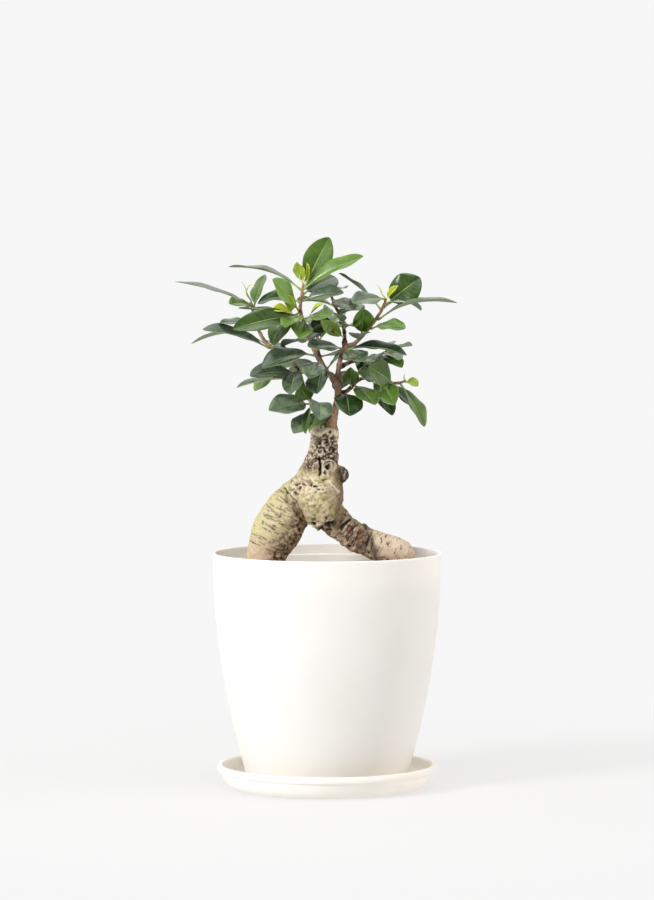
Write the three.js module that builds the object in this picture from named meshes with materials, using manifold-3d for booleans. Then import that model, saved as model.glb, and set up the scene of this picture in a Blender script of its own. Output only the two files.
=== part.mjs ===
// A small ginseng-type fig bonsai in a round plastic pot with a saucer. Millimetres, +Z up.
// The origin is the centre of the saucer's flat underside, and the pot's axis is the Z axis.
import * as THREE from 'three';
import { mergeVertices } from 'three/addons/utils/BufferGeometryUtils.js';
import Module from 'manifold-3d';

const wasm = await Module();
wasm.setup();

// ---------- driving dimensions ----------
const GAP = 0.3; // clearance between pieces that touch
const ROUND_STEPS = 72; // facets round the pot and saucer

const SAUCER_HEIGHT = 16.5;
const SAUCER_FOOT_RADIUS = 69;
const SAUCER_LIP_RADIUS = 79.4;
const SAUCER_LIP_BAND = 5;
const SAUCER_WALL = 2.4;
const SAUCER_FLOOR = 3;

const POT_BOTTOM = SAUCER_FLOOR + GAP;
const POT_HEIGHT = 166.5;
const POT_RIM_RADIUS = 82.5;
const POT_TAPER = 25.8; // how much narrower the foot is than the rim
const POT_WALL = 2.6;
const POT_LIP_WALL = 1.8;
const POT_LIP_DEPTH = 7.5; // the thin lip ends here in a small ledge
const POT_FLOOR = 3;
const POT_FOOT_RING = 2; // the floor is this far above the foot
const DRAIN_RADIUS = 8;

const NET_RADIUS = 17;
const NET_THICKNESS = 1;
const NET_PITCH = 5;
const NET_HOLE = 3.4;
const PUMICE_DEPTH = 20;
const SOIL_DEPTH_BELOW_RIM = 20;
const SOIL_CROWN = 2.5; // the soil is a little higher in the middle

const ROOT_SIDES = 22;
const TWIG_SIDES = 6;
const STALK_HALF = 0.7; // half the thickness of a leaf's stalk
const STALK_SHARE = 0.16; // share of a leaf's length that is stalk
const BLADE_HALF_THICKNESS = 0.45;

const potFloorTop = POT_BOTTOM + POT_FOOT_RING + POT_FLOOR;
const rimHeight = POT_BOTTOM + POT_HEIGHT;
const soilTop = rimHeight - SOIL_DEPTH_BELOW_RIM;
const netTop = potFloorTop + GAP + NET_THICKNESS;
const pumiceTop = netTop + GAP + PUMICE_DEPTH;

// ---------- materials ----------
const material = (color, roughness) => new THREE.MeshStandardMaterial({ color, roughness, metalness: 0 });
const whitePlastic = material(0xf6efe6, 0.35);
const netPlastic = material(0x2b2b2a, 0.6);
const pumiceStone = material(0xcfc6b4, 0.95);
const pottingMix = material(0x3b2a1e, 0.95);
const rootBark = material(0xa79a74, 0.8);
const twigBark = material(0x7b6450, 0.85);
const leafGreen = material(0x3f6b35, 0.4);

// ---------- geometry helpers ----------
const vec = (x, y, z) => new THREE.Vector3(x, y, z);

// A solid of revolution about Z from [radius, height] points that close on the axis or on themselves.
function turned(profile, steps = ROUND_STEPS) {
  const points = profile.map(([r, z]) => new THREE.Vector2(r, z));
  return new THREE.LatheGeometry(points, steps).rotateX(Math.PI / 2);
}

// Joins rings with the same number of points into one closed skin with flat ends.
function loft(rings) {
  const sides = rings[0].length;
  const positions = rings.flat().flatMap((p) => [p.x, p.y, p.z]);
  const faces = [];
  for (let ring = 0; ring < rings.length - 1; ring++) {
    for (let side = 0; side < sides; side++) {
      const a = ring * sides + side;
      const b = ring * sides + ((side + 1) % sides);
      faces.push(a, b, b + sides, a, b + sides, a + sides);
    }
  }
  const last = (rings.length - 1) * sides;
  for (let side = 1; side < sides - 1; side++) {
    faces.push(0, side + 1, side, last, last + side, last + side + 1);
  }
  const geometry = new THREE.BufferGeometry();
  geometry.setAttribute('position', new THREE.Float32BufferAttribute(positions, 3));
  geometry.setIndex(faces);
  return geometry;
}

// The line through hand-placed [x, y, z, radius] stations, with the radius carried along it.
class Stem {
  constructor(stations) {
    this.line = new THREE.CatmullRomCurve3(stations.map(([x, y, z]) => vec(x, y, z)), false, 'centripetal');
    this.radii = stations.map((s) => s[3]);
  }

  // The place at a share of the stem's length.
  at(share) {
    const t = this.line.getUtoTmapping(share);
    const place = t * (this.radii.length - 1);
    const low = Math.min(Math.floor(place), this.radii.length - 2);
    const radius = THREE.MathUtils.lerp(this.radii[low], this.radii[low + 1], place - low);
    return { point: this.line.getPoint(t), tangent: this.line.getTangent(t), radius };
  }

  // Round rings along the stem; grow adds to every radius.
  rings(count, sides, grow = 0) {
    const frames = this.line.computeFrenetFrames(count, false);
    const rings = [];
    for (let i = 0; i <= count; i++) {
      const { point, radius } = this.at(i / count);
      const ring = [];
      for (let side = 0; side < sides; side++) {
        const turn = (side / sides) * 2 * Math.PI;
        ring.push(point.clone()
          .addScaledVector(frames.normals[i], Math.cos(turn) * (radius + grow))
          .addScaledVector(frames.binormals[i], Math.sin(turn) * (radius + grow)));
      }
      rings.push(ring);
    }
    return rings;
  }
}

function toSolid(geometry) {
  const bare = geometry.clone();
  bare.deleteAttribute('normal');
  bare.deleteAttribute('uv');
  const merged = mergeVertices(bare, 1e-4);
  const vertProperties = merged.attributes.position.array;
  const triVerts = new Uint32Array(merged.index.array);
  return new wasm.Manifold(new wasm.Mesh({ numProp: 3, vertProperties, triVerts }));
}

function fromSolid(solid) {
  const mesh = solid.getMesh();
  const geometry = new THREE.BufferGeometry();
  geometry.setAttribute('position', new THREE.BufferAttribute(mesh.vertProperties, 3));
  geometry.setIndex(new THREE.BufferAttribute(mesh.triVerts, 1));
  return geometry;
}

const joined = (geometries) => geometries.map(toSolid).reduce((sum, next) => sum.add(next));

// ---------- pot and saucer ----------
// The pot's wall narrows from rim to foot as a parabola.
function potRadius(z) {
  const below = 1 - (z - POT_BOTTOM) / POT_HEIGHT;
  return POT_RIM_RADIUS - POT_TAPER * below * below;
}

// [radius, height] points up the inside of the wall, between two heights.
function innerWall(fromZ, toZ, inset, steps) {
  const points = [];
  for (let i = 0; i <= steps; i++) {
    const z = THREE.MathUtils.lerp(fromZ, toZ, i / steps);
    points.push([potRadius(z) - POT_WALL - inset, z]);
  }
  return points;
}

function saucer() {
  const lipFoot = SAUCER_HEIGHT - SAUCER_LIP_BAND;
  const neck = SAUCER_LIP_RADIUS - 2.4; // the wall tucks in under the lip
  const inside = neck - SAUCER_WALL + 1;
  return turned([
    [0, 0],
    [SAUCER_FOOT_RADIUS, 0],
    [SAUCER_FOOT_RADIUS + 4.2, 3.4],
    [neck - 1.2, 7.4],
    [neck, lipFoot],
    [SAUCER_LIP_RADIUS - 0.8, lipFoot],
    [SAUCER_LIP_RADIUS, lipFoot + 1],
    [SAUCER_LIP_RADIUS, SAUCER_HEIGHT - 1.4],
    [SAUCER_LIP_RADIUS - 1.2, SAUCER_HEIGHT],
    [inside + 0.8, SAUCER_HEIGHT],
    [inside, SAUCER_HEIGHT - 1],
    [inside - 1.4, 8.4],
    [SAUCER_FOOT_RADIUS + 1, 5],
    [SAUCER_FOOT_RADIUS - 3, SAUCER_FLOOR],
    [0, SAUCER_FLOOR],
  ]);
}

function pot() {
  const outside = [];
  for (let i = 0; i <= 10; i++) {
    const z = THREE.MathUtils.lerp(POT_BOTTOM + 2, rimHeight - 1, i / 10);
    outside.push([potRadius(z), z]);
  }
  const ledge = rimHeight - POT_LIP_DEPTH;
  const inside = innerWall(potFloorTop + 3, ledge - 1, 0, 8).reverse();
  const footRadius = potRadius(POT_BOTTOM);
  return turned([
    [DRAIN_RADIUS, POT_BOTTOM + POT_FOOT_RING],
    [footRadius - 7, POT_BOTTOM + POT_FOOT_RING],
    [footRadius - 6, POT_BOTTOM],
    [footRadius - 1.4, POT_BOTTOM],
    ...outside,
    [POT_RIM_RADIUS - 0.7, rimHeight],
    [POT_RIM_RADIUS - POT_LIP_WALL, rimHeight],
    [potRadius(ledge) - POT_LIP_WALL, ledge],
    ...inside,
    [potRadius(potFloorTop) - POT_WALL - 2.5, potFloorTop],
    [DRAIN_RADIUS, potFloorTop],
    [DRAIN_RADIUS, POT_BOTTOM + POT_FOOT_RING],
  ]);
}

// ---------- fillings ----------
function drainageNet() {
  const disc = new THREE.CylinderGeometry(NET_RADIUS, NET_RADIUS, NET_THICKNESS, 48).rotateX(Math.PI / 2);
  const reach = Math.floor(NET_RADIUS / NET_PITCH);
  let net = toSolid(disc);
  for (let i = -reach; i <= reach; i++) {
    for (let j = -reach; j <= reach; j++) {
      const [x, y] = [i * NET_PITCH, j * NET_PITCH];
      if (Math.hypot(x, y) > NET_RADIUS - NET_HOLE) continue;
      net = net.subtract(toSolid(new THREE.BoxGeometry(NET_HOLE, NET_HOLE, NET_THICKNESS * 2).translate(x, y, 0)));
    }
  }
  return fromSolid(net).translate(0, 0, potFloorTop + GAP + NET_THICKNESS / 2);
}

function pumiceLayer() {
  const from = netTop + GAP;
  const foot = potRadius(from) - POT_WALL - 2.5; // clears the rounded corner inside the pot
  return turned([[0, from], [foot, from], ...innerWall(from + 3, pumiceTop, GAP, 2), [0, pumiceTop]], 48);
}

function soilBlank() {
  const from = pumiceTop + GAP;
  return turned([
    [0, from],
    ...innerWall(from, soilTop, GAP, 5),
    [potRadius(soilTop) * 0.5, soilTop + SOIL_CROWN * 0.8],
    [0, soilTop + SOIL_CROWN],
  ], 48);
}

// ---------- the swollen roots ----------
// Hand-placed stations, top to bottom: [x, y, z, radius].
const LEFT_ROOT = [
  [-9, 0, 222, 11], [-17, 1, 214, 12.6], [-26, 1.5, 203, 15.8], [-33.8, 1, 190, 17.6], [-40.5, 1, 177, 16.4],
  [-46.4, 0.5, 163, 12.4], [-49.8, 0, 149, 10], [-51, 0, 132, 7], [-49, 1, 112, 4],
];
const RIGHT_ROOT = [
  [-3, 3, 206, 9.5], [4.6, 2, 193.8, 11], [16, 1, 183.8, 10.4], [28, 0, 177.8, 10.2], [40, -1, 173.4, 10.9],
  [49.5, -1, 169.4, 11.6], [55.5, -1, 168.2, 10.4], [60.6, -1, 167.6, 7.4], [63.2, -1, 167.4, 3],
];
const RIGHT_SINKER = [[51, -1, 171, 9], [52, -1, 162.5, 11.2], [53, -0.5, 151, 10], [55, 0.5, 133, 6.5], [54, 1, 112, 3.5]];
const BODY = [
  [-6.8, -4, 188, 4], [-6.2, -4, 191.5, 9], [-4.8, -4, 199, 14.2], [-5, -3.5, 208.5, 17.2], [-5.2, -2, 218, 16.6],
  [-5.4, -1, 227, 14.4], [-4, 0, 234.5, 11.9], [-2.7, 0, 242, 10.4], [-1.9, 0, 250, 9.5], [-0.6, 0, 259, 9.2],
];
const CUT_STUB = [[2, 0, 228, 7], [8, -1, 226.5, 6], [14.2, -2, 225.5, 5]];

function rootBody(grow) {
  const pieces = [[LEFT_ROOT, 14], [RIGHT_ROOT, 13], [RIGHT_SINKER, 6], [BODY, 14], [CUT_STUB, 3]];
  return joined(pieces.map(([stations, count]) => loft(new Stem(stations).rings(count, ROOT_SIDES, grow))));
}

// ---------- stems ----------
// [x, y, z, radius] stations, from where each stem starts to its growing tip.
const STEMS = {
  scion_stem: [
    [3.1, 0, 259.8, 3.7], [4, 0, 264.6, 3.1], [5.5, 0, 269.8, 2.5], [6.4, 0.5, 275, 2.3], [7.4, 1, 280, 2.2],
    [8, 1.4, 285, 2.3], [7.8, 1.2, 290, 2.9], [7.4, 0.8, 294.5, 2.8], [8, 0.3, 299.5, 1.9], [8.4, 0, 304.2, 1.8],
    [9.4, -0.5, 308.6, 1.8], [10.7, -1, 312.4, 1.8], [11.5, -1, 315.6, 1.8], [12.6, -1, 318.6, 2],
  ],
  branch_upper_right: [
    [15.4, -1.8, 318.9, 1.4], [20.7, -3.5, 321.6, 1.3], [26, -5, 327, 1.3], [32.6, -6, 335.2, 1.3],
    [38.7, -6, 343.8, 1.1], [42.8, -5, 353.5, 0.9],
  ],
  branch_upper_middle: [
    [12.7, 0.4, 321.6, 1.4], [12.3, 4, 330.5, 1.3], [9.4, 8, 341, 1.2], [4.5, 11, 350, 1], [2.5, 13, 360, 0.8],
  ],
  branch_upper_left: [
    [3.1, -0.3, 297.4, 1.6], [0, -1, 299.6, 1.6], [-2.4, -2, 303.4, 1.6], [-5, -3, 307.2, 1.5], [-7.6, -4, 312, 1.4],
    [-10, -5, 318, 1.4], [-12.7, -6, 325, 1.4], [-15.6, -8, 334, 1.3], [-19, -8, 344, 1.3], [-18.2, -6, 355, 1.1],
    [-17, -4, 365, 0.9],
  ],
  branch_lower_left: [
    [0.8, -1.6, 266.7, 1.8], [-4, -4.5, 271, 1.8], [-9, -6.5, 276, 1.7], [-13, -8, 282, 1.6], [-17, -9, 291, 1.5],
    [-20.5, -9, 301, 1.5], [-26, -7.5, 309, 1.4], [-34, -5, 314.5, 1.4], [-43, -3, 320.5, 1.3], [-49.5, 0, 331, 1.2],
    [-52.6, 3, 341, 1.1], [-55, 4, 351, 0.9],
  ],
  branch_lower_right: [
    [11.3, 2.6, 284.7, 1.5], [16.7, 6, 287.8, 1.5], [21, 8, 292.6, 1.4], [26.5, 9, 295.4, 1.4], [36, 8, 294.4, 1.3],
    [47.5, 4, 291.6, 1.1], [57, 1, 293.6, 0.8],
  ],
  branch_middle_right: [
    [11.2, 2.6, 304.6, 1.4], [20, 10, 308, 1.4], [31, 16, 310, 1.3], [41, 18, 313, 1.1], [48, 16, 319, 0.8],
  ],
  branch_back: [
    [6, 6, 290, 1.6], [2, 16, 297.5, 1.5], [-4, 28, 307, 1.3], [-7, 37, 319, 1.1], [-6, 43, 332, 0.8],
  ],
};

// ---------- leaves ----------
// Which way a blade's upper face looks.
const UP = [0, -0.15, 1];
const UP_FRONT = [0, -0.6, 0.8];
const FRONT = [-0.1, -0.85, 0.5];
const FACING = [0, -1, 0.2];
// Rows: [share of the stem's length, tip x, tip y, tip z, width, upper face, arch].
const LEAVES = {
  branch_upper_left: [
    [0.97, 1.6, 2, 397, 23, [-0.35, -1, 0.15], 0.05],
    [0.94, 26, -14, 383.5, 14, [-0.3, -0.6, 0.75], 0.12],
    [0.89, 6, 16, 368.5, 21, [-0.3, -0.85, 0.35], 0.08],
    [0.82, 12, -16, 357.5, 15, [-0.3, -0.6, 0.7], 0.1],
    [0.93, -71, 6, 375.5, 15, UP, 0.2],
    [0.72, -39, -28, 367, 20, [0.5, -0.7, 0.6], 0.06],
    [0.67, -67, -32, 332, 16, FRONT, 0.12],
    [0.63, 3, -40, 341, 18, UP_FRONT, 0.1],
    [0.61, -64, -2, 346, 15, UP, 0.1],
    [0.27, -46, -33, 304, 19, [-0.2, -0.6, 0.8], 0.18],
    [0.19, -13, -37, 297, 15, UP_FRONT, 0.12],
    [0.11, -7, -27, 285.5, 18, [-0.3, -0.85, 0.35], 0.1],
  ],
  branch_lower_left: [
    [0.99, -110, 12, 365, 14, UP, 0.08],
    [0.96, -45, 20, 370, 13, [-0.6, -0.6, 0.5], 0.05],
    [0.66, -89, -18, 331, 17, [0, -0.4, 0.9], 0.1],
    [0.83, -77, -12, 335.5, 15, [0, -0.4, 0.9], 0.12],
    [0.39, -55, -26, 298, 19, UP_FRONT, 0.1],
    [0.34, -65, -4, 289, 15, UP, 0.12],
    [0.41, -26, -37, 285.5, 14, [-0.2, -0.9, 0.4], 0.06],
    [0.17, -41.5, -27, 273.5, 19, FRONT, 0.1],
    [0.14, -5, -33, 267, 17, [0.3, -0.35, 0.9], 0.5],
    [0.1, -24, -24, 257, 15, [-0.5, -0.85, 0.2], 0.06],
    [0.19, -20, -20, 291, 15, [-0.3, -0.9, 0.25], 0.06],
  ],
  branch_upper_right: [
    [0.92, 67, -4, 368, 21, [-0.3, -0.95, 0.3], 0.08],
    [0.67, 93.5, -14, 350, 16, UP, 0.22],
    [0.97, 18, -26, 350.5, 15, UP_FRONT, 0.1],
    [0.47, 56, -24, 332, 14, [0, -0.45, 0.9], 0.16],
  ],
  branch_upper_middle: [
    [0.24, 20, -22, 333, 16, [0.2, -0.8, 0.6], 0.1],
    [0.78, 18, -12, 346, 17, [0.2, -0.8, 0.5], 0.08],
    [0.4, -21, 22, 322, 17, [-0.4, -0.7, 0.6], 0.08],
    [0.97, -8, 46, 366, 18, UP, 0.12],
  ],
  scion_stem: [
    [0.96, -13.5, -26, 319, 15, UP_FRONT, 0.12],
    [0.98, 57, -18, 312.5, 17, [0, -0.4, 0.9], 0.15],
    [0.92, 27, -34, 309, 16, UP_FRONT, 0.1],
  ],
  branch_lower_right: [
    [0.81, 29.5, -16, 304.5, 18, [-0.1, -0.95, 0.35], 0.08],
    [0.16, 17, -12, 304, 12, FACING, 0.05],
    [0.2, 34, -26, 277.5, 16, [0.2, -0.75, 0.65], 0.1],
    [0.67, 48.5, -20, 277, 15, FRONT, 0.1],
    [0.92, 70, -8, 261, 14, [0.7, -0.6, 0.5], 0.08],
    [0.01, 16, -33, 270, 20, [0.1, -0.7, 0.7], 0.14],
  ],
  branch_middle_right: [
    [0.69, 54, -8, 303.5, 14, UP_FRONT, 0.1],
    [0.97, 36, 54, 316, 17, UP, 0.12],
  ],
  branch_back: [
    [0.47, -36, 48, 300, 18, [-0.2, 0.5, 0.8], 0.12],
    [0.59, 24, 56, 306, 18, [0.3, 0.5, 0.8], 0.12],
    [0.98, -34, 68, 340, 18, [-0.2, 0.3, 0.9], 0.12],
    [0.91, 12, 78, 330, 18, [0.1, 0.5, 0.8], 0.14],
  ],
};

// Half the blade's width as a share of its widest, at a share of the blade's length.
const bladeShape = (share) => Math.pow(Math.sin(Math.PI * Math.pow(share, 1.1)), 0.75);
const BLADE_STATIONS = [0.12, 0.3, 0.5, 0.7, 0.86, 0.96];

// Four-point rings from the stalk's foot to the blade's tip: left edge, upper rib, right edge, lower rib.
function leafRings(stem, [share, x, y, z, width, facing, arch], index) {
  const from = stem.at(share);
  const tip = vec(x, y, z);
  const reach = tip.clone().sub(from.point);
  const outwards = reach.clone().projectOnPlane(from.tangent).normalize();
  const foot = from.point.clone().addScaledVector(outwards, from.radius + GAP + STALK_HALF);
  const up = vec(...facing).projectOnPlane(reach).normalize();
  const crest = foot.clone().lerp(tip, 0.42).addScaledVector(up, arch * reach.length());
  const line = new THREE.QuadraticBezierCurve3(foot, crest, tip);
  const fold = 0.28 + 0.12 * Math.sin(index * 2.4); // how far the blade's halves fold up, radians
  const twist = 0.22 * Math.sin(index * 1.7 + 1); // how far the blade turns on its rib

  const ring = (place, halfWidth, halfThickness, raise, turn) => {
    const tangent = line.getTangentAt(place);
    const across = tangent.clone().cross(up).normalize();
    const above = across.clone().cross(tangent).normalize();
    across.applyAxisAngle(tangent, turn);
    above.applyAxisAngle(tangent, turn);
    const centre = line.getPointAt(place);
    const edge = (side) => centre.clone()
      .addScaledVector(across, side * halfWidth * Math.cos(raise))
      .addScaledVector(above, halfWidth * Math.sin(raise));
    const rib = (side) => centre.clone().addScaledVector(above, side * halfThickness);
    return [edge(-1), rib(1), edge(1), rib(-1)];
  };

  const rings = [
    ring(0, STALK_HALF, STALK_HALF, 0, 0),
    ring(STALK_SHARE, STALK_HALF, STALK_HALF, 0, 0),
  ];
  for (const station of BLADE_STATIONS) {
    const place = STALK_SHARE + (1 - STALK_SHARE) * station;
    const halfWidth = (width / 2) * bladeShape(station);
    rings.push(ring(place, halfWidth, BLADE_HALF_THICKNESS, fold, twist * station));
  }
  rings.push(ring(1, 0.3, 0.25, 0, twist));
  return rings;
}

// ---------- assembly ----------
const bonsai = new THREE.Group();

function addPiece(name, geometry, surface) {
  const mesh = new THREE.Mesh(geometry, surface);
  mesh.name = name;
  bonsai.add(mesh);
}

addPiece('saucer', saucer(), whitePlastic);
addPiece('pot', pot(), whitePlastic);
addPiece('drainage_net', drainageNet(), netPlastic);
addPiece('pumice_layer', pumiceLayer(), pumiceStone);
addPiece('potting_soil', fromSolid(toSolid(soilBlank()).subtract(rootBody(GAP))), pottingMix);

const stems = {};
for (const [name, stations] of Object.entries(STEMS)) stems[name] = new Stem(stations);
addPiece('swollen_root', fromSolid(rootBody(0)), rootBark);
for (const [name, stem] of Object.entries(stems)) {
  addPiece(name, loft(stem.rings(stem.radii.length + 1, TWIG_SIDES)), twigBark);
}

let leafIndex = 0;
for (const [name, rows] of Object.entries(LEAVES)) {
  const stemLabel = name.replace('branch_', '').replace('scion_', '');
  rows.forEach((row, i) => {
    addPiece(`leaf_${stemLabel}_${i + 1}`, loft(leafRings(stems[name], row, leafIndex)), leafGreen);
    leafIndex += 1;
  });
}

export default bonsai;
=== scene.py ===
"""Makes the finished surfaces of a ficus bonsai with swollen roots, in a white plastic pot on its saucer."""
import math

import bmesh
import bpy
import numpy as np
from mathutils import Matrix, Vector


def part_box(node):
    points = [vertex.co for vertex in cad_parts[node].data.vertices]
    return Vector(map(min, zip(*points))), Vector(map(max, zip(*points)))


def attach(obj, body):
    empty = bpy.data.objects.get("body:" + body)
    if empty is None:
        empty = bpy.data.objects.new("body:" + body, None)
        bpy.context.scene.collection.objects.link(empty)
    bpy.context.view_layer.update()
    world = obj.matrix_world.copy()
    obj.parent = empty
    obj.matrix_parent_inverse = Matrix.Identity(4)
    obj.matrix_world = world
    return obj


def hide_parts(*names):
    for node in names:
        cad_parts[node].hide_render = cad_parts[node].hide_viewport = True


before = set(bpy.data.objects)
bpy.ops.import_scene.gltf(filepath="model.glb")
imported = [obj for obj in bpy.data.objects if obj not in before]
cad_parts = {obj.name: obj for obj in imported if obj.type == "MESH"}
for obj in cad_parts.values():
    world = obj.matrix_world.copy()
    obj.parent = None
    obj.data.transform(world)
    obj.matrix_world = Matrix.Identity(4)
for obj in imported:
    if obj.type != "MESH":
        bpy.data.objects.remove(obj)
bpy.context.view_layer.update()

bl_info = {
    "name": "Ficus Bonsai in a Pot",
    "version": (1, 0, 0),
    "blender": (4, 5, 0),
    "location": "3D View > Sidebar > Bonsai",
    "description": "Builds the pot, soil, swollen roots, twigs and leaves of a small ficus bonsai",
    "category": "Add Mesh",
}

MM = 0.001
BODY = "root"
GOLDEN_TURN = math.pi * (3 - math.sqrt(5))

# Lines down the middle of the swollen roots, top to bottom, in millimetres: x, y, z, radius.
ROOT_LINES = {
    "left": [
        [-9, 0, 222, 11], [-17, 1, 214, 12.6], [-26, 1.5, 203, 15.8], [-33.8, 1, 190, 17.6],
        [-40.5, 1, 177, 16.4], [-46.4, 0.5, 163, 12.4], [-49.8, 0, 149, 10], [-51, 0, 132, 7],
    ],
    "right": [
        [4.6, 2, 193.8, 11], [16, 1, 183.8, 10.4], [28, 0, 177.8, 10.2], [40, -1, 173.4, 10.9],
        [49.5, -1, 169.4, 11.6], [55.5, -1, 168.2, 10.4], [63.2, -1, 167.4, 3],
    ],
    "sinker": [[51, -1, 171, 9], [52, -1, 162.5, 11.2], [53, -0.5, 151, 10], [55, 0.5, 133, 6.5]],
    "body": [
        [-6.8, -4, 188, 4], [-4.8, -4, 199, 14.2], [-5, -3.5, 208.5, 17.2], [-5.2, -2, 218, 16.6],
        [-5.4, -1, 227, 14.4], [-4, 0, 234.5, 11.9], [-2.7, 0, 242, 10.4], [-0.6, 0, 259, 9.2],
    ],
    "stub": [[2, 0, 228, 7], [14.2, -2, 225.5, 5]],
}


# ---------- settings ----------
def linear(*levels):
    """Linear colour for three display levels from 0 to 255, by the standard display curve."""
    share = np.array(levels) / 255
    return tuple(np.where(share <= 0.04045, share / 12.92, ((share + 0.055) / 1.055) ** 2.4))


def color_setting(name, description, *levels):
    return bpy.props.FloatVectorProperty(
        name=name, description=description, subtype="COLOR", min=0, max=1, default=linear(*levels)
    )


def length_setting(name, description, millimetres):
    return bpy.props.FloatProperty(
        name=name, description=description, unit="LENGTH", min=0, default=millimetres * MM
    )


def share_setting(name, description, default, most=1.0):
    return bpy.props.FloatProperty(
        name=name, description=description, subtype="FACTOR", min=0, max=most, default=default
    )


def count_setting(name, description, default):
    return bpy.props.IntProperty(name=name, description=description, min=3, default=default)


class PotSettings(bpy.types.PropertyGroup):
    """Sizes and finish of the plastic pot and saucer."""

    color: color_setting("Plastic", "Colour of the pot and the saucer", 246, 241, 234)
    shade: color_setting("Plastic shade", "Colour of the slightly darker patches", 244, 238, 229)
    roughness: share_setting("Roughness", "Roughness of the plastic", 0.46)
    taper: length_setting("Taper", "How much narrower the pot is at its foot", 25.8)
    wall: length_setting("Wall", "Thickness of the pot's wall", 2.6)
    lip_wall: length_setting("Lip wall", "Thickness of the wall above the inner ledge", 1.8)
    lip_depth: length_setting("Lip depth", "From the rim down to the inner ledge", 7.5)
    steps: count_setting("Steps round", "Faces round the pot and the saucer", 192)


class SoilSettings(bpy.types.PropertyGroup):
    """The potting mix and what is under it."""

    dark: color_setting("Damp mix", "Colour of the hollows of the potting mix", 92, 68, 48)
    light: color_setting("Dry mix", "Colour of the dry crumbs", 188, 150, 112)
    pumice: color_setting("Pumice", "Colour of the pumice", 232, 224, 208)
    relief: length_setting("Relief", "Height of the bumps of the potting mix", 1.3)
    crumbs: count_setting("Clay crumbs", "How many baked clay crumbs lie on the soil", 900)
    granules: count_setting("Pumice granules", "How many pumice granules lie on the soil", 900)


class RootSettings(bpy.types.PropertyGroup):
    """The swollen roots and the grafted top of the root body."""

    voxel: length_setting("Detail", "Size of the faces of the swollen roots", 0.62)
    smoothing: count_setting("Smoothing", "Passes that round the joins between the roots", 22)
    relief: share_setting("Relief", "Strength of the bark's wrinkles and knobs", 1.0, 3.0)
    olive: color_setting("Olive skin", "Colour of the sunny side of the roots", 212, 205, 150)
    tan: color_setting("Tan skin", "Colour of the smooth skin of the knees", 228, 207, 182)
    brown: color_setting("Brown skin", "Colour of the shaded warty side", 112, 80, 58)
    grey: color_setting("Grey bark", "Colour of the scaly bark round the neck", 104, 80, 66)
    cork: color_setting("Cork", "Colour of the corky knobs at the graft", 242, 224, 196)
    dark: color_setting("Cleft", "Colour of clefts, dashes and cut ends", 50, 33, 24)


class TwigSettings(bpy.types.PropertyGroup):
    """The grafted stem and its branches."""

    sides: count_setting("Sides", "Faces round a twig", 20)
    spacing: length_setting("Ring spacing", "Distance between rings along a twig", 0.7)
    dark: color_setting("Dark bark", "Colour of the old bark and the forks", 78, 56, 46)
    grey: color_setting("Grey bark", "Colour of the bark of the lower stem", 164, 134, 120)
    tan: color_setting("Tan bark", "Colour of the young bark", 196, 154, 120)


class LeafSettings(bpy.types.PropertyGroup):
    """Shape and colours of the leaves."""

    thickness: length_setting("Thickness", "Thickness of a blade", 0.42)
    stalk: length_setting("Stalk", "Thickness of a leaf's stalk", 1.35)
    fullness: share_setting("Fullness", "Width of the blades against the plain ones", 1.12, 2.0)
    wave: share_setting("Wave", "How much the edges of a blade wave, as a share of its width", 0.05)
    dark: color_setting("Deep green", "Colour of the oldest leaves", 12, 42, 11)
    fresh: color_setting("Fresh green", "Colour of the newest full leaves", 112, 150, 54)
    young: color_setting("Bud green", "Colour of folded young leaves and buds", 186, 196, 58)
    under: color_setting("Underside", "Colour of the underside", 132, 150, 122)
    rib: color_setting("Midrib", "Colour of the midrib and the stalk", 156, 180, 96)


class StageSettings(bpy.types.PropertyGroup):
    """Floor, lights and camera."""

    backdrop: color_setting("Backdrop", "Colour of the floor far away and of the background", 247, 247, 247)
    floor: color_setting("Floor", "Colour of the floor under the pot", 224, 223, 222)
    glow: share_setting("Floor glow", "Share of the floor's brightness that shadows don't reach", 0.68)
    surround: share_setting("Surround light", "Strength of the light from all sides", 0.38, 4.0)
    sheen: share_setting("Mirrored surround", "How much brighter glossy skins see the surround", 2.2, 4.0)
    key: bpy.props.FloatProperty(name="Key light", description="Power of the main light", default=74.0)
    top: bpy.props.FloatProperty(name="Top light", description="Power of the overhead light", default=22.0)
    fill: bpy.props.FloatProperty(name="Fill light", description="Power of the right light", default=24.0)
    distance: length_setting("Camera distance", "From the pot's middle to the camera", 3046)
    height: length_setting("Camera height", "Height of the camera above the floor", 415.2)
    tilt: bpy.props.FloatProperty(
        name="Tilt", description="How far the camera looks down", subtype="ANGLE", default=math.radians(3.22)
    )
    lens: bpy.props.FloatProperty(name="Lens", description="Focal length in millimetres", default=169.2)


# ---------- smooth random values ----------
def lattice_noise(points, size, seed):
    """Values from -1 to 1. Each corner of a cubic lattice gets a value mixed from its whole-number place,
    and a point blends its cell's eight corners with the weight 6 t^5 - 15 t^4 + 10 t^3 along each axis."""
    scaled = points / size
    low = np.floor(scaled).astype(np.int64)
    part = scaled - low
    weight = part**3 * (part * (part * 6 - 15) + 10)
    total = np.zeros(len(points))
    for corner in np.ndindex(2, 2, 2):
        cell = low + corner
        mixed = cell @ np.array([73856093, 19349663, 83492791]) + seed * 2654435761
        mixed = (mixed ^ (mixed >> 13)) * 1274126177 & 0xFFFFFFFF
        mixed = (mixed ^ (mixed >> 16)) * 2246822519 & 0xFFFFFFFF
        value = (mixed ^ (mixed >> 15)) / 2**31 - 1
        share = np.where(corner, weight, 1 - weight).prod(axis=1)
        total += value * share
    return total


def layered_noise(points, size, seed, layers=3):
    """Sum of lattice noises, each at half the size and half the strength of the one before."""
    return sum(lattice_noise(points, size / 2**k, seed + k) / 2**k for k in range(layers))


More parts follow.
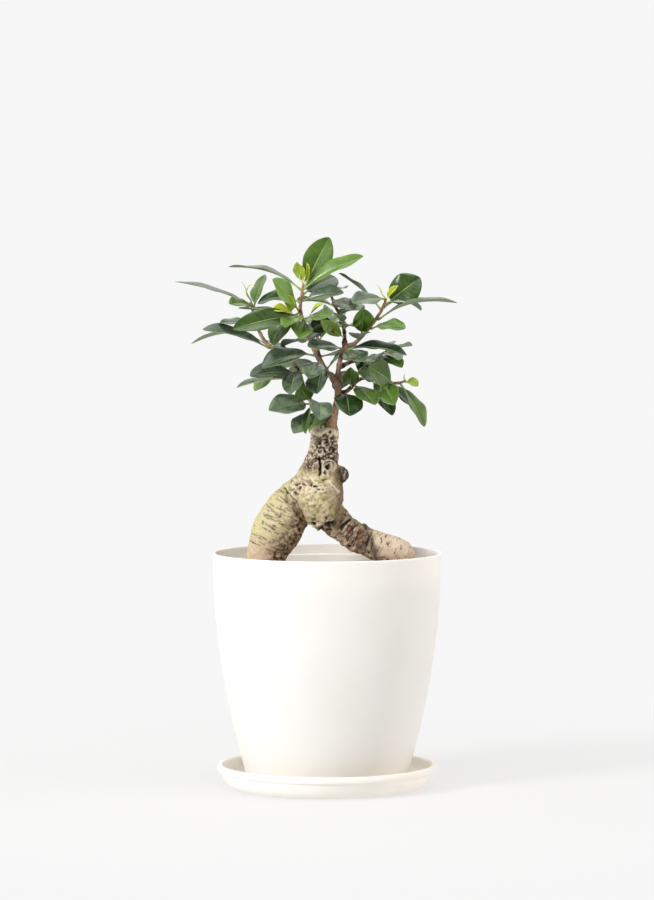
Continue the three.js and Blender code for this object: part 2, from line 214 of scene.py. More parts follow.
def smooth_step(value, low, high):
    """0 below low, 1 above high, and t^2 (3 - 2 t) between them."""
    t = ((value - low) / (high - low)).clip(0, 1)
    return t * t * (3 - 2 * t)


def hump(distance, width):
    """A bell of height 1: exp(-(distance / width)^2)."""
    return np.exp(-((distance / width) ** 2))


# ---------- paths and skins ----------
def unit(vectors):
    return vectors / np.linalg.norm(vectors, axis=-1, keepdims=True).clip(1e-12)


def smooth_path(stations, shares):
    """Values of a smooth curve through stations at shares of its chord length. Between two stations it is
    the cubic with the stations' own values and with slopes from their neighbours."""
    stations = np.asarray(stations, float)
    steps = np.linalg.norm(np.diff(stations[:, :3], axis=0), axis=1)
    place = np.concatenate([[0], np.cumsum(steps)])
    slopes = np.gradient(stations, place, axis=0)
    at = np.asarray(shares) * place[-1]
    low = np.clip(np.searchsorted(place, at, side="right") - 1, 0, len(place) - 2)
    width = place[low + 1] - place[low]
    t = ((at - place[low]) / width)[:, None]
    width = width[:, None]
    return (
        (2 * t**3 - 3 * t**2 + 1) * stations[low]
        + (t**3 - 2 * t**2 + t) * width * slopes[low]
        + (3 * t**2 - 2 * t**3) * stations[low + 1]
        + (t**3 - t**2) * width * slopes[low + 1]
    )


def frames_along(line):
    """Two unit directions square to a line at each of its points, from one fixed reference axis."""
    tangents = unit(np.gradient(line, axis=0))
    chord = np.abs(unit(line[-1] - line[0]))
    reference = np.eye(3)[np.argmin(chord)]
    first = unit(np.cross(tangents, reference))
    return first, np.cross(tangents, first)


def turn_angles(count):
    """Equal steps of angle round one full turn."""
    return np.arange(count) / count * 2 * np.pi


def round_directions(line, count):
    """Unit directions round a line: cos(angle) of the first cross direction and sin(angle) of the second."""
    first, second = frames_along(line)
    angle = turn_angles(count)
    return np.cos(angle)[:, None] * first[:, None] + np.sin(angle)[:, None] * second[:, None]


class Skin:
    """Points, faces and surface values of closed surfaces, as arrays."""

    def __init__(self, points, quads, triangles, **values):
        self.points = points
        self.quads = quads
        self.triangles = triangles
        self.values = values

    @classmethod
    def over(cls, grid, loop=False, **values):
        """A skin over a grid of rings. The columns wrap round. The rows join end to end in a loop, or
        each end is closed by a fan from its middle point."""
        rows, columns = grid.shape[:2]
        index = np.arange(rows * columns).reshape(rows, columns)
        if loop:
            low = index
            high = np.roll(index, -1, axis=0)
        else:
            low = index[:-1]
            high = index[1:]
        quads = np.stack([low, np.roll(low, -1, 1), np.roll(high, -1, 1), high], -1).reshape(-1, 4)
        flat = {name: np.reshape(v, (rows * columns, -1)) for name, v in values.items()}
        points = grid.reshape(-1, 3)
        if loop:
            return cls(points, quads, np.zeros((0, 3), int), **flat)
        first = index[0]
        last = index[-1]
        foot = np.full(columns, rows * columns)
        fans = np.concatenate([
            np.stack([foot, np.roll(first, -1), first], 1),
            np.stack([foot + 1, last, np.roll(last, -1)], 1),
        ])
        points = np.vstack([points, grid[0].mean(0), grid[-1].mean(0)])
        flat = {n: np.vstack([v, v[first].mean(0), v[last].mean(0)]) for n, v in flat.items()}
        return cls(points, quads, fans, **flat)

    @classmethod
    def joined(cls, skins):
        """Several skins as one, each keeping its own faces."""
        starts = np.cumsum([0] + [len(s.points) for s in skins[:-1]])
        return cls(
            np.vstack([s.points for s in skins]),
            np.vstack([s.quads + start for s, start in zip(skins, starts)]),
            np.vstack([s.triangles + start for s, start in zip(skins, starts)]),
            **{name: np.vstack([s.values[name] for s in skins]) for name in skins[0].values},
        )


def finish_piece(thing, material, nodes):
    """Gives a piece its material, lets it ride on the body and stand for its CAD nodes."""
    thing.data.materials.clear()
    thing.data.materials.append(material)
    thing.data.shade_smooth()
    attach(thing, BODY)
    if nodes:
        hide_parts(*nodes)
    return thing


def set_values(mesh, values):
    """Writes arrays of 1 or 3 numbers per point as attributes of the mesh."""
    for name, array in values.items():
        wide = array.shape[-1] == 3
        layer = mesh.attributes.new(name, "FLOAT_VECTOR" if wide else "FLOAT", "POINT")
        layer.data.foreach_set("vector" if wide else "value", array.astype(np.float32).ravel())


def new_object(name, data):
    """A new object for a mesh, lamp or camera, in the scene's collection."""
    thing = bpy.data.objects.new(name, data)
    bpy.context.scene.collection.objects.link(thing)
    return thing


def skin_object(name, skin):
    """A new object from a skin, with its surface values as attributes."""
    mesh = bpy.data.meshes.new(name)
    mesh.from_pydata(skin.points.tolist(), [], skin.quads.tolist() + skin.triangles.tolist())
    set_values(mesh, skin.values)
    return new_object(name, mesh)


def make_piece(name, skin, material, slot_name, *nodes):
    """A new object from a skin, finished and placed."""
    return finish_piece(skin_object(name, skin), material, nodes)


def rounded(corners, steps=5):
    """A polyline with its corners rounded. A row is [radius, height, rounding], all in metres: each corner
    becomes a quadratic curve that starts and ends at the rounding's distance from it."""
    rows = np.asarray(corners, float)
    line = []
    t = np.linspace(0, 1, steps)[:, None]
    for before, here, after in zip(rows[:-2], rows[1:-1], rows[2:]):
        if here[2] == 0:
            line.append(here[None, :2])
            continue
        start = here[:2] + unit(before[:2] - here[:2]) * here[2]
        end = here[:2] + unit(after[:2] - here[:2]) * here[2]
        line.append((1 - t) ** 2 * start + 2 * t * (1 - t) * here[:2] + t**2 * end)
    return np.vstack([rows[:1, :2], *line, rows[-1:, :2]])


def turned(profile, steps):
    """Grid of a profile of [radius, height] points carried round the Z axis."""
    angle = turn_angles(steps)
    radius = profile[:, :1]
    height = np.broadcast_to(profile[:, 1:2], (len(profile), steps))
    return np.stack([radius * np.cos(angle), radius * np.sin(angle), height], axis=-1)


# ---------- what the CAD nodes say ----------
def cad_corners(node):
    """The different corner points of a CAD node and its triangles, with shared corners merged."""
    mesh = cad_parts[node].data
    place = np.empty(len(mesh.vertices) * 3)
    mesh.vertices.foreach_get("co", place)
    place = place.reshape(-1, 3)
    corners = np.empty(len(mesh.loops), int)
    mesh.loops.foreach_get("vertex_index", corners)
    whole = np.round(place * 1e6).astype(np.int64)
    _, first, back = np.unique(whole, axis=0, return_index=True, return_inverse=True)
    return place[first], back.reshape(-1)[corners].reshape(-1, 3)


def cad_rings(node):
    """The rings of corners that a lofted CAD node was skinned over, from its thick end. A corner inside the
    loft is in six triangles, so the others are on the two end rings, and each next ring touches the last."""
    points, triangles = cad_corners(node)
    touching = np.zeros((len(points), len(points)), bool)
    for side in ((0, 1), (1, 2), (2, 0)):
        touching[triangles[:, side[0]], triangles[:, side[1]]] = True
    ends = np.bincount(triangles.ravel(), minlength=len(points)) != 6
    one = np.zeros(len(points), bool)
    one[np.argmax(ends)] = True
    for _ in range(6):
        one |= touching @ one & ends
    other = ends & ~one
    current = max((one, other), key=lambda ring: np.ptp(points[ring], axis=0).max())
    seen = current.copy()
    rings = []
    while current.any():
        rings.append(points[current])
        current = touching @ current & ~seen
        seen |= current
    return rings


def cad_stem(node):
    """Rows of x, y, z and radius at the rings of a CAD stem."""
    rows = []
    for ring in cad_rings(node):
        middle = ring.mean(0)
        rows.append([*middle, np.linalg.norm(ring - middle, axis=1).mean()])
    return np.array(rows)


def cad_leaf(node):
    """Middle points and upward directions at the rings of a CAD leaf, its half width and its fold angle.
    A blade ring's two widest corners are its edges, raised above the rib by the fold."""
    middles = []
    ups = []
    half_width = 0
    fold = 0
    for ring in cad_rings(node):
        apart = np.linalg.norm(ring[:, None] - ring[None], axis=-1)
        left, right = np.unravel_index(np.argmax(apart), apart.shape)
        ribs = [k for k in range(4) if k not in (left, right)]
        middle = ring[ribs].mean(0)
        raised = (ring[left] + ring[right]) / 2 - middle
        middles.append(middle)
        ups.append(raised)
        if apart[left, right] / 2 > half_width:
            half_width = apart[left, right] / 2
            fold = math.atan2(np.linalg.norm(raised), half_width)
    ups[0] = ups[1] = ups[2]
    ups[-1] = ups[-2]
    return np.array(middles), unit(np.array(ups)), half_width / math.cos(fold), fold


# ---------- shader nodes ----------
class Wiring:
    """Adds nodes to one node tree. An input given as a socket is linked, any other value is set."""

    def __init__(self, tree):
        self.tree = tree

    def add(self, kind, inputs=None, **settings):
        node = self.tree.nodes.new(kind if kind.startswith("NodeGroup") else "ShaderNode" + kind)
        for name, value in settings.items():
            setattr(node, name, value)
        for name, value in (inputs or {}).items():
            self.put(node.inputs[name], value)
        return node

    def put(self, socket, value):
        if isinstance(value, bpy.types.NodeSocket):
            self.tree.links.new(value, socket)
        elif socket.type == "RGBA" and len(value) == 3:
            socket.default_value = (*value, 1)
        else:
            socket.default_value = value

    def math(self, operation, first, second=0.0, third=0.0, clamp=False):
        node = self.add("Math", {0: first, 1: second, 2: third}, operation=operation, use_clamp=clamp)
        return node.outputs[0]

    def blend(self, share, first, second):
        """A mix of two colours."""
        node = self.add("Mix", {0: share, 6: first, 7: second}, data_type="RGBA")
        return node.outputs[2]

    def span(self, value, low, high, to_low=0.0, to_high=1.0):
        """The value taken smoothly from the span low..high to the span to_low..to_high."""
        inputs = {0: value, 1: low, 2: high, 3: to_low, 4: to_high}
        return self.add("MapRange", inputs, interpolation_type="SMOOTHSTEP").outputs[0]

    def noise(self, vector, scale, detail=2.0, roughness=0.5):
        inputs = {"Vector": vector, "Scale": scale, "Detail": detail, "Roughness": roughness}
        return self.add("TexNoise", inputs).outputs[0]

    def cells(self, vector, scale, output="Distance"):
        return self.add("TexVoronoi", {"Vector": vector, "Scale": scale}).outputs[output]

    def stretched(self, vector, *scale):
        return self.add("Mapping", {"Vector": vector, "Scale": scale}).outputs[0]

    def attribute(self, name, output="Vector"):
        return self.add("Attribute", attribute_name=name).outputs[output]

    def object_place(self):
        return self.add("TexCoord").outputs["Object"]

    def bump(self, height, strength, distance):
        inputs = {"Height": height, "Strength": strength, "Distance": distance}
        return self.add("Bump", inputs).outputs[0]

    def group(self, tree, inputs):
        node = self.add("Group")
        node.node_tree = tree
        for name, value in inputs.items():
            self.put(node.inputs[name], value)
        return node.outputs


def shader_group(name, inputs, outputs):
    """A new node group with named sockets. Returns its wiring, its inputs and its output node."""
    tree = bpy.data.node_groups.new(name, "ShaderNodeTree")
    for label, kind, default in inputs:
        socket = tree.interface.new_socket(label, in_out="INPUT", socket_type="NodeSocket" + kind)
        socket.default_value = default
    for label, kind in outputs:
        tree.interface.new_socket(label, in_out="OUTPUT", socket_type="NodeSocket" + kind)
    wiring = Wiring(tree)
    return wiring, wiring.add("NodeGroupInput").outputs, wiring.add("NodeGroupOutput").inputs


def surface(name, wire_up):
    """A material whose Principled shader takes the sockets and values that wire_up returns."""
    material = bpy.data.materials.new(name)
    material.use_nodes = True
    wiring = Wiring(material.node_tree)
    shader = material.node_tree.nodes["Principled BSDF"]
    for socket, value in wire_up(wiring).items():
        wiring.put(shader.inputs[socket], value)
    return material


def moulded_plastic_group():
    """Moulded plastic: faint cloudy tint, slow ripple of the wall and a fine skin texture."""
    wiring, given, out = shader_group(
        "Moulded Plastic",
        [("Place", "Vector", (0, 0, 0)), ("Color", "Color", (1, 1, 1, 1)), ("Shade", "Color", (1, 1, 1, 1)),
         ("Roughness", "Float", 0.3)],
        [("Color", "Color"), ("Roughness", "Float"), ("Height", "Float")],
    )
    cloud = wiring.noise(given["Place"], 22, 3)
    fine = wiring.noise(given["Place"], 900, 2)
    ripple = wiring.noise(wiring.stretched(given["Place"], 26, 26, 4), 1, 1)
    wiring.put(out["Color"], wiring.blend(wiring.span(cloud, 0.35, 0.7), given["Color"], given["Shade"]))
    change = wiring.span(cloud, 0.3, 0.7, -0.03, 0.05)
    wiring.put(out["Roughness"], wiring.math("ADD", given["Roughness"], change))
    wiring.put(out["Height"], wiring.math("ADD", ripple, wiring.math("MULTIPLY", fine, 0.05)))
    return wiring.tree


def crumbly_group():
    """Crumbs and pores: cells of uneven size tinted between two colours, with dark pits between them."""
    wiring, given, out = shader_group(
        "Crumbly Grain",
        [("Place", "Vector", (0, 0, 0)), ("Dark", "Color", (0, 0, 0, 1)), ("Light", "Color", (1, 1, 1, 1)),
         ("Grain", "Float", 400.0)],
        [("Color", "Color"), ("Height", "Float")],
    )
    cells = wiring.cells(given["Place"], given["Grain"], "Color")
    tint = wiring.add("SeparateColor", {0: cells}).outputs[0]
    pit = wiring.cells(given["Place"], given["Grain"])
    soft = wiring.noise(given["Place"], wiring.math("MULTIPLY", given["Grain"], 0.3), 4, 0.6)
    share = wiring.math("MULTIPLY", wiring.math("ADD", tint, soft), 0.55)
    color = wiring.blend(wiring.span(share, 0.3, 0.85), given["Dark"], given["Light"])
    wiring.put(out["Color"], wiring.blend(wiring.span(pit, 0.55, 0.95, 0, 0.6), color, given["Dark"]))
    wiring.put(out["Height"], wiring.math("SUBTRACT", soft, pit))
    return wiring.tree


def bark_group():
    """Bark along a limb: dashes across it, pores and a fine grain. Limb is the place along the limb and off
    its middle line, so the pattern turns with the limb."""
    wiring, given, out = shader_group(
        "Limb Bark",
        [("Limb", "Vector", (0, 0, 0)), ("Place", "Vector", (0, 0, 0)), ("Color", "Color", (1, 1, 1, 1)),
         ("Dark", "Color", (0, 0, 0, 1)), ("Dashes", "Float", 1.0)],
        [("Color", "Color"), ("Height", "Float"), ("Roughness", "Float")],
    )
    across = wiring.stretched(given["Limb"], 1, 0.3, 0.3)
    lines = wiring.noise(across, 620, 2, 0.55)
    breaks = wiring.noise(given["Limb"], 190, 2)
    dash = wiring.math("MULTIPLY", wiring.span(lines, 0.57, 0.65), wiring.span(breaks, 0.42, 0.55))
    dash = wiring.math("MULTIPLY", dash, given["Dashes"])
    pore = wiring.span(wiring.cells(given["Place"], 420), 0.12, 0.3, 1, 0)
    speck = wiring.math("MULTIPLY", pore, wiring.span(wiring.noise(given["Place"], 160), 0.5, 0.62))
    grain = wiring.noise(given["Place"], 1100, 3, 0.6)
    color = wiring.blend(wiring.span(grain, 0.3, 0.75, 0.28, 0), given["Color"], given["Dark"])
    color = wiring.blend(wiring.math("MULTIPLY", dash, 0.8), color, given["Dark"])
    color = wiring.blend(wiring.math("MULTIPLY", speck, 0.5), color, given["Dark"])
    cut = wiring.math("MULTIPLY", wiring.math("ADD", dash, speck), -0.8)
    wiring.put(out["Color"], color)
    wiring.put(out["Height"], wiring.math("ADD", cut, wiring.math("MULTIPLY", grain, 0.5)))
    wiring.put(out["Roughness"], wiring.span(grain, 0.2, 0.8, 0.62, 0.85))
    return wiring.tree


def leaf_group():
    """A leaf from its blade values: x runs from edge to edge, -1 to 1, y from stalk to tip, 0 to 1, and z is
    1 on the underside. It has a pale midrib, faint slanted veins, a thin pale edge and cloudy greens. A tone
    from 0 to 1 goes from deep to light green, and a tone below 0 lays patches of painted grey sheen over the
    deep green."""
    wiring, given, out = shader_group(
        "Leaf Blade",
        [("Blade", "Vector", (0, 0, 0)), ("Tone", "Float", 0.5), ("Place", "Vector", (0, 0, 0)),
         ("Deep", "Color", (0, 0, 0, 1)), ("Light", "Color", (1, 1, 1, 1)), ("Under", "Color", (1, 1, 1, 1)),
         ("Rib", "Color", (1, 1, 1, 1))],
        [("Color", "Color"), ("Roughness", "Float"), ("Height", "Float")],
    )
    parts = wiring.add("SeparateXYZ", {0: given["Blade"]}).outputs
    across = wiring.math("ABSOLUTE", parts[0])
    along = parts[1]
    under = wiring.span(parts[2], 0.35, 0.65)
    slant = wiring.math("MULTIPLY_ADD", across, -0.13, along)
    wander = wiring.math("MULTIPLY", wiring.noise(given["Place"], 90, 1), 0.05)
    wave = wiring.math("SINE", wiring.math("MULTIPLY", wiring.math("ADD", slant, wander), 62))
    vein = wiring.math("MULTIPLY", wiring.span(wave, 0.72, 1), wiring.span(across, 0.97, 0.5))
    rib_width = wiring.span(along, 0.1, 1, 0.08, 0.02)
    rib = wiring.math("SUBTRACT", 1, wiring.math("DIVIDE", across, rib_width), clamp=True)
    rib = wiring.span(rib, 0, 0.7)
    edge = wiring.span(across, 0.95, 0.99)
    stalk = wiring.span(along, 0.14, 0.09)
    cloud = wiring.noise(given["Place"], 130, 3, 0.6)
    share = wiring.math("MULTIPLY_ADD", cloud, 0.5, wiring.math("SUBTRACT", given["Tone"], 0.25), clamp=True)
    color = wiring.blend(share, given["Deep"], given["Light"])
    patches = wiring.span(cloud, 0.3, 0.62, 0.28, 0.78)
    # Painted sheen: grey patches laid over the deep green of leaves whose tone is below 0.
    bloom = wiring.math("MULTIPLY", wiring.span(given["Tone"], 0, -1), patches)
    color = wiring.blend(bloom, color, given["Under"])
    color = wiring.blend(wiring.math("MULTIPLY", vein, 0.07), color, given["Rib"])
    color = wiring.blend(wiring.math("MULTIPLY", under, 0.85), color, given["Under"])
    color = wiring.blend(wiring.math("MULTIPLY", rib, 0.7), color, given["Rib"])
    color = wiring.blend(wiring.math("MULTIPLY", edge, 0.65), color, given["Rib"])
    color = wiring.blend(stalk, color, given["Rib"])
    rough = wiring.math("MULTIPLY_ADD", cloud, 0.22, wiring.span(under, 0, 1, 0.18, 0.44))
    height = wiring.math("MULTIPLY_ADD", vein, -0.6, wiring.noise(given["Place"], 900, 2))
    wiring.put(out["Color"], color)
    wiring.put(out["Roughness"], rough)
    wiring.put(out["Height"], height)
    return wiring.tree


def plastic_surface(name, group, color, shade, roughness):
    def wire_up(wiring):
        values = {"Place": wiring.object_place(), "Color": color, "Shade": shade, "Roughness": roughness}
        made = wiring.group(group, values)
        return {
            "Base Color": made["Color"],
            "Roughness": made["Roughness"],
            "Normal": wiring.bump(made["Height"], 0.25, 0.0006),
            "Specular IOR Level": 0.4,
            "Subsurface Weight": 0.45,
            "Subsurface Radius": (1.0, 0.85, 0.7),
            "Subsurface Scale": 0.008,
        }

    return surface(name, wire_up)


def crumbly_surface(name, group, dark, light, grain):
    def wire_up(wiring):
        values = {"Place": wiring.object_place(), "Dark": dark, "Light": light, "Grain": grain}
        made = wiring.group(group, values)
        return {
            "Base Color": made["Color"],
            "Roughness": 0.92,
            "Normal": wiring.bump(made["Height"], 0.8, 0.0007),
        }

    return surface(name, wire_up)


def bark_surface(name, group, color_and_dashes, dark, depth):
    def wire_up(wiring):
        color, dashes = color_and_dashes(wiring)
        made = wiring.group(group, {
            "Limb": wiring.attribute("limb"), "Place": wiring.object_place(), "Color": color, "Dark": dark,
            "Dashes": dashes,
        })
        return {
            "Base Color": made["Color"],
            "Roughness": made["Roughness"],
            "Normal": wiring.bump(made["Height"], 0.6, depth),
            "Specular IOR Level": 0.15,
        }

    return surface(name, wire_up)


def leaf_surface(name, group, deep, light, under, rib):
    def wire_up(wiring):
        made = wiring.group(group, {
            "Blade": wiring.attribute("blade"), "Tone": wiring.attribute("tone", "Fac"),
            "Place": wiring.object_place(), "Deep": deep, "Light": light, "Under": under, "Rib": rib,
        })
        return {
            "Base Color": made["Color"],
            "Roughness": made["Roughness"],
            "Normal": wiring.bump(made["Height"], 0.14, 0.0003),
            "Specular IOR Level": 0.42,
        }

    return surface(name, wire_up)


# ---------- pot and saucer ----------
def pot_radius(height, settings):
    """Outer radius of the pot at a height: rim radius less the taper times (1 - share of height)^2."""
    low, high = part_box("pot")
    share = (height - low.z) / (high.z - low.z)
    return high.x - settings.taper * (1 - share) ** 2


class BONSAI_OT_pot(bpy.types.Operator):
    """Make the pot: its profile carried round the axis, with a thin rounded lip and an inner ledge"""

    bl_idname = "bonsai.pot"
    bl_label = "Pot"

    def execute(self, context):
        settings = context.scene.bonsai_pot
        low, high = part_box("pot")
        ledge = high.z - settings.lip_depth
        floor = low.z + 5 * MM
        underside = low.z + 2 * MM
        rise = np.linspace(underside, high.z - 1.2 * MM, 40)
        outside = np.stack([pot_radius(rise, settings), rise, 0 * rise], 1)
        fall = np.linspace(ledge - 1 * MM, floor + 4 * MM, 30)
        inside = np.stack([pot_radius(fall, settings) - settings.wall, fall, 0 * fall], 1)
        foot = pot_radius(low.z, settings)
        drain = 8 * MM
        top = high.x - settings.lip_wall
        corners = [
            [drain + 3 * MM, underside, 0], [foot - 8 * MM, underside, 0.8 * MM],
            [foot - 6 * MM, low.z, 0.5 * MM], [foot - 1.4 * MM, low.z, 1.2 * MM], *outside,
            [high.x, high.z, 0.8 * MM], [top, high.z, 0.8 * MM],
            [pot_radius(ledge, settings) - settings.lip_wall, ledge, 0.35 * MM],
            [pot_radius(ledge, settings) - settings.wall, ledge - 0.3 * MM, 0.35 * MM], *inside,
            [pot_radius(floor, settings) - settings.wall - 2 * MM, floor, 1.8 * MM],
            [drain, floor, 0.4 * MM], [drain, underside, 0.4 * MM], [drain + 3 * MM, underside, 0],
        ]
        profile = rounded(corners)[:-1]
        skin = Skin.over(turned(profile, settings.steps), loop=True)
        make_piece("grow_pot", skin, materials["plastic"], "pot_plastic", "pot")
        return {"FINISHED"}


class BONSAI_OT_saucer(bpy.types.Operator):
    """Make the saucer: a shallow tray with a tucked-in wall under a rolled lip band"""

    bl_idname = "bonsai.saucer"
    bl_label = "Saucer"

    def execute(self, context):
        settings = context.scene.bonsai_pot
        _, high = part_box("saucer")
        top = high.z / MM
        lip = high.x / MM
        foot = lip - 10.4
        neck = lip - 2.4
        rows = [
            [0.05, 0, 0], [foot - 4, 0, 0.4], [foot - 3, 0.5, 0.4], [foot - 1.5, 0.5, 0.4], [foot, 0, 0.8],
            [foot + 4.2, 3.4, 2], [neck - 1.2, 7.4, 2], [neck, top - 5.4, 0.5], [lip - 1.2, top - 5, 0.4],
            [lip, top - 4, 0.8], [lip, top - 1, 0.9], [lip - 1.2, top, 0.8], [neck - 0.6, top, 0.5],
            [neck - 1.4, top - 1.2, 0.6], [neck - 2.8, 8.4, 2], [foot + 1, 5, 2.2], [foot - 3, 3, 1.5],
            [30, 2.8, 0], [29, 3.1, 0.3], [27, 3.1, 0.3], [26, 2.8, 0], [0.05, 2.8, 0],
        ]
        profile = rounded(np.array(rows) * MM)
        skin = Skin.over(turned(profile, settings.steps))
        make_piece("drip_saucer", skin, materials["plastic"], "pot_plastic", "saucer")
        return {"FINISHED"}


class BONSAI_OT_fillings(bpy.types.Operator):
    """Finish the drainage net and the pumice layer inside the pot"""

    bl_idname = "bonsai.fillings"
    bl_label = "Net and Pumice"

    def execute(self, context):
        for node, finish in (("drainage_net", "net"), ("pumice_layer", "pumice")):
            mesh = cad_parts[node].data
            mesh.materials.clear()
            mesh.materials.append(materials[finish])
        return {"FINISHED"}


# ---------- soil ----------
def soil_height(x, y, settings):
    """Height of the soil: a low crown, 1 - (distance from the middle / radius)^2, with lumpy noise."""
    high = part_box("potting_soil")[1]
    crown = 1 - (np.hypot(x, y) / high.x) ** 2
    flat = np.stack([x, y, 0 * x], -1).reshape(-1, 3)
    lumps = layered_noise(flat, 9 * MM, 4, 4).reshape(np.shape(x))
    return high.z - 2.5 * MM + 2.5 * MM * crown + settings.relief * (lumps - 0.6)


def icosahedron_corners():
    """Twelve corners: those of three upright golden rectangles, one square to each axis."""
    tall = (1 + math.sqrt(5)) / 2
    one = np.array([[0, s, t * tall] for s in (-1, 1) for t in (-1, 1)], float)
    return np.vstack([one, one[:, [2, 0, 1]], one[:, [1, 2, 0]]])


def icosahedron_faces():
    """The twenty triangles of the icosahedron's corners, turned to point outwards."""
    corners = icosahedron_corners()
    apart = np.linalg.norm(corners[:, None] - corners[None], axis=-1)
    near = (apart > 0.1) & (apart < 2.1)
    faces = []
    for i in range(12):
        for j in range(i + 1, 12):
            for k in range(j + 1, 12):
                if near[i, j] and near[j, k] and near[i, k]:
                    normal = np.cross(corners[j] - corners[i], corners[k] - corners[i])
                    outward = normal @ corners[i] > 0
                    faces.append([i, j, k] if outward else [i, k, j])
    return np.array(faces)


def scattered(count, sizes, seed, settings):
    """Pebbles strewn over the soil. Their places follow a sunflower spiral with a random shift. Each is an
    icosahedron with its corners moved in or out, squashed along its axes and turned, at a size of its own."""
    draw = np.random.default_rng(seed)
    corners = unit(icosahedron_corners())
    faces = icosahedron_faces()
    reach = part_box("potting_soil")[1].x - 2.5 * MM
    radius = reach * np.sqrt((np.arange(count) + 0.5) / count) + draw.uniform(-1, 1, count) * 2 * MM
    angle = np.arange(count) * GOLDEN_TURN + draw.uniform(-0.2, 0.2, count)
    radius = radius.clip(0, reach)
    x = radius * np.cos(angle)
    y = radius * np.sin(angle)
    size = draw.uniform(*sizes, count) * MM
    z = soil_height(x, y, settings) + size * 0.3
    points = []
    for k in range(count):
        lumps = draw.uniform(0.72, 1.15, 12)
        squash = draw.uniform(0.6, 1.2, 3)
        turn = np.linalg.qr(draw.normal(size=(3, 3)))[0]
        turn *= np.sign(np.linalg.det(turn))
        pebble = corners * lumps[:, None] * squash
        points.append(pebble @ turn.T * size[k] + [x[k], y[k], z[k]])
    offsets = np.arange(count)[:, None, None] * 12
    return Skin(np.vstack(points), np.zeros((0, 4), int), (faces[None] + offsets).reshape(-1, 3))


class BONSAI_OT_soil(bpy.types.Operator):
    """Make the soil bed with its lumpy top, and strew clay crumbs and pumice granules over it"""

    bl_idname = "bonsai.soil"
    bl_label = "Soil"

    def execute(self, context):
        settings = context.scene.bonsai_soil
        low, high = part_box("potting_soil")
        steps = 128
        angle = turn_angles(steps)
        radius = np.linspace(high.x, 0.2 * MM, 60)[:, None]
        x = radius * np.cos(angle)
        y = radius * np.sin(angle)
        top = np.stack([x, y, soil_height(x, y, settings)], -1)
        heights = np.linspace(low.z, high.z - 4 * MM, 12)
        inset = context.scene.bonsai_pot.wall + 0.3 * MM
        wall = np.stack([pot_radius(heights, context.scene.bonsai_pot) - inset, heights], 1)
        wall = np.vstack([[0.2 * MM, low.z], wall])
        skin = Skin.over(np.concatenate([turned(wall, steps), top]))
        make_piece("soil_bed", skin, materials["soil"], "potting_mix", "potting_soil")
        crumbs = scattered(settings.crumbs, (1.1, 2.4), 11, settings)
        make_piece("clay_crumbs", crumbs, materials["crumbs"], "potting_mix")
        granules = scattered(settings.granules, (1.1, 2.6), 12, settings)
        make_piece("pumice_granules", granules, materials["pumice"], "pumice")
        return {"FINISHED"}


# ---------- swollen roots ----------
def limb_values(points, line):
    """For points in millimetres: the offset from a limb's line, and how far outside the limb's tapering skin
    they are. The nearest segment is the one with the least distance less its radius there."""
    line = np.asarray(line, float)
    best = np.full(len(points), np.inf)
    offset = np.zeros((len(points), 3))
    for low, high in zip(line[:-1], line[1:]):
        step = high[:3] - low[:3]
        share = ((points - low[:3]) @ step / np.linalg.norm(step) ** 2).clip(0, 1)
        off = points - low[:3] - share[:, None] * step
        outside = np.linalg.norm(off, axis=1) - (low[3] + share * (high[3] - low[3]))
        closer = outside < best
        best = np.where(closer, outside, best)
        offset[closer] = off[closer]
    return offset, best


def limb_place(points, line):
    """For points in millimetres: the smooth distance along a limb's line and the offset from it. Both are
    means over closely spaced stations, each weighted by exp(-d^2 / 30) at a distance d."""
    stations = smooth_path(line, np.linspace(0, 1, 60))[:, :3]
    steps = np.linalg.norm(np.diff(stations, axis=0), axis=1)
    place = np.concatenate([[0], np.cumsum(steps)])
    gaps = np.stack([((points - station) ** 2).sum(1) for station in stations], 1)
    weight = np.exp(-(gaps - gaps.min(1, keepdims=True)) / 30)
    weight /= weight.sum(1, keepdims=True)
    return weight @ place, points - weight @ stations


def root_blank(settings):
    """The CAD root body with its joins rounded: the merged copy gets an even skin of small faces, and each
    point then moves halfway to the mean of its neighbours many times."""
    mesh = bpy.data.meshes.new("swollen_roots")
    work = bmesh.new()
    work.from_mesh(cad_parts["swollen_root"].data)
    bmesh.ops.remove_doubles(work, verts=work.verts, dist=1e-6)
    work.to_mesh(mesh)
    work.free()
    thing = new_object("swollen_roots", mesh)
    even = thing.modifiers.new("Even skin", "REMESH")
    even.mode = "VOXEL"
    even.voxel_size = settings.voxel
    thing.data = bpy.data.meshes.new_from_object(thing.evaluated_get(bpy.context.evaluated_depsgraph_get()))
    thing.modifiers.clear()
    thing.data.name = "swollen_roots"
    place = np.empty(len(thing.data.vertices) * 3)
    thing.data.vertices.foreach_get("co", place)
    return thing, relaxed(place.reshape(-1, 3), edge_pairs(thing.data), settings.smoothing)


def point_normals(mesh, place):
    """Writes the points into the mesh and reads back its outward directions."""
    mesh.vertices.foreach_set("co", place.astype(np.float32).ravel())
    mesh.update()
    normals = np.empty(len(place) * 3)
    mesh.vertex_normals.foreach_get("vector", normals)
    return normals.reshape(-1, 3)


def toward(color, other, share):
    """Colours moved towards another by a share for each point."""
    return color + (np.array(other) - color) * share[:, None]


def off_line(points, line):
    """Distance of points from a polyline drawn on the front of the roots: each row is x, z."""
    nearest = np.full(len(points), np.inf)
    flat = points[:, [0, 2]]
    for low, high in zip(np.array(line[:-1], float), np.array(line[1:], float)):
        step = high - low
        share = ((flat - low) @ step / (step @ step)).clip(0, 1)
        nearest = np.minimum(nearest, np.linalg.norm(flat - low - share[:, None] * step, axis=1))
    return nearest


def spots(points, rows):
    """Sum of bells at x, z with a width each, for the front of the roots."""
    return sum(hump(np.hypot(points[:, 0] - x, points[:, 2] - z), width) for x, z, width in rows)


# How far the whole skin of the roots is moved out after it was smoothed, in millimetres.
SMOOTHING_LOSS = 0.35
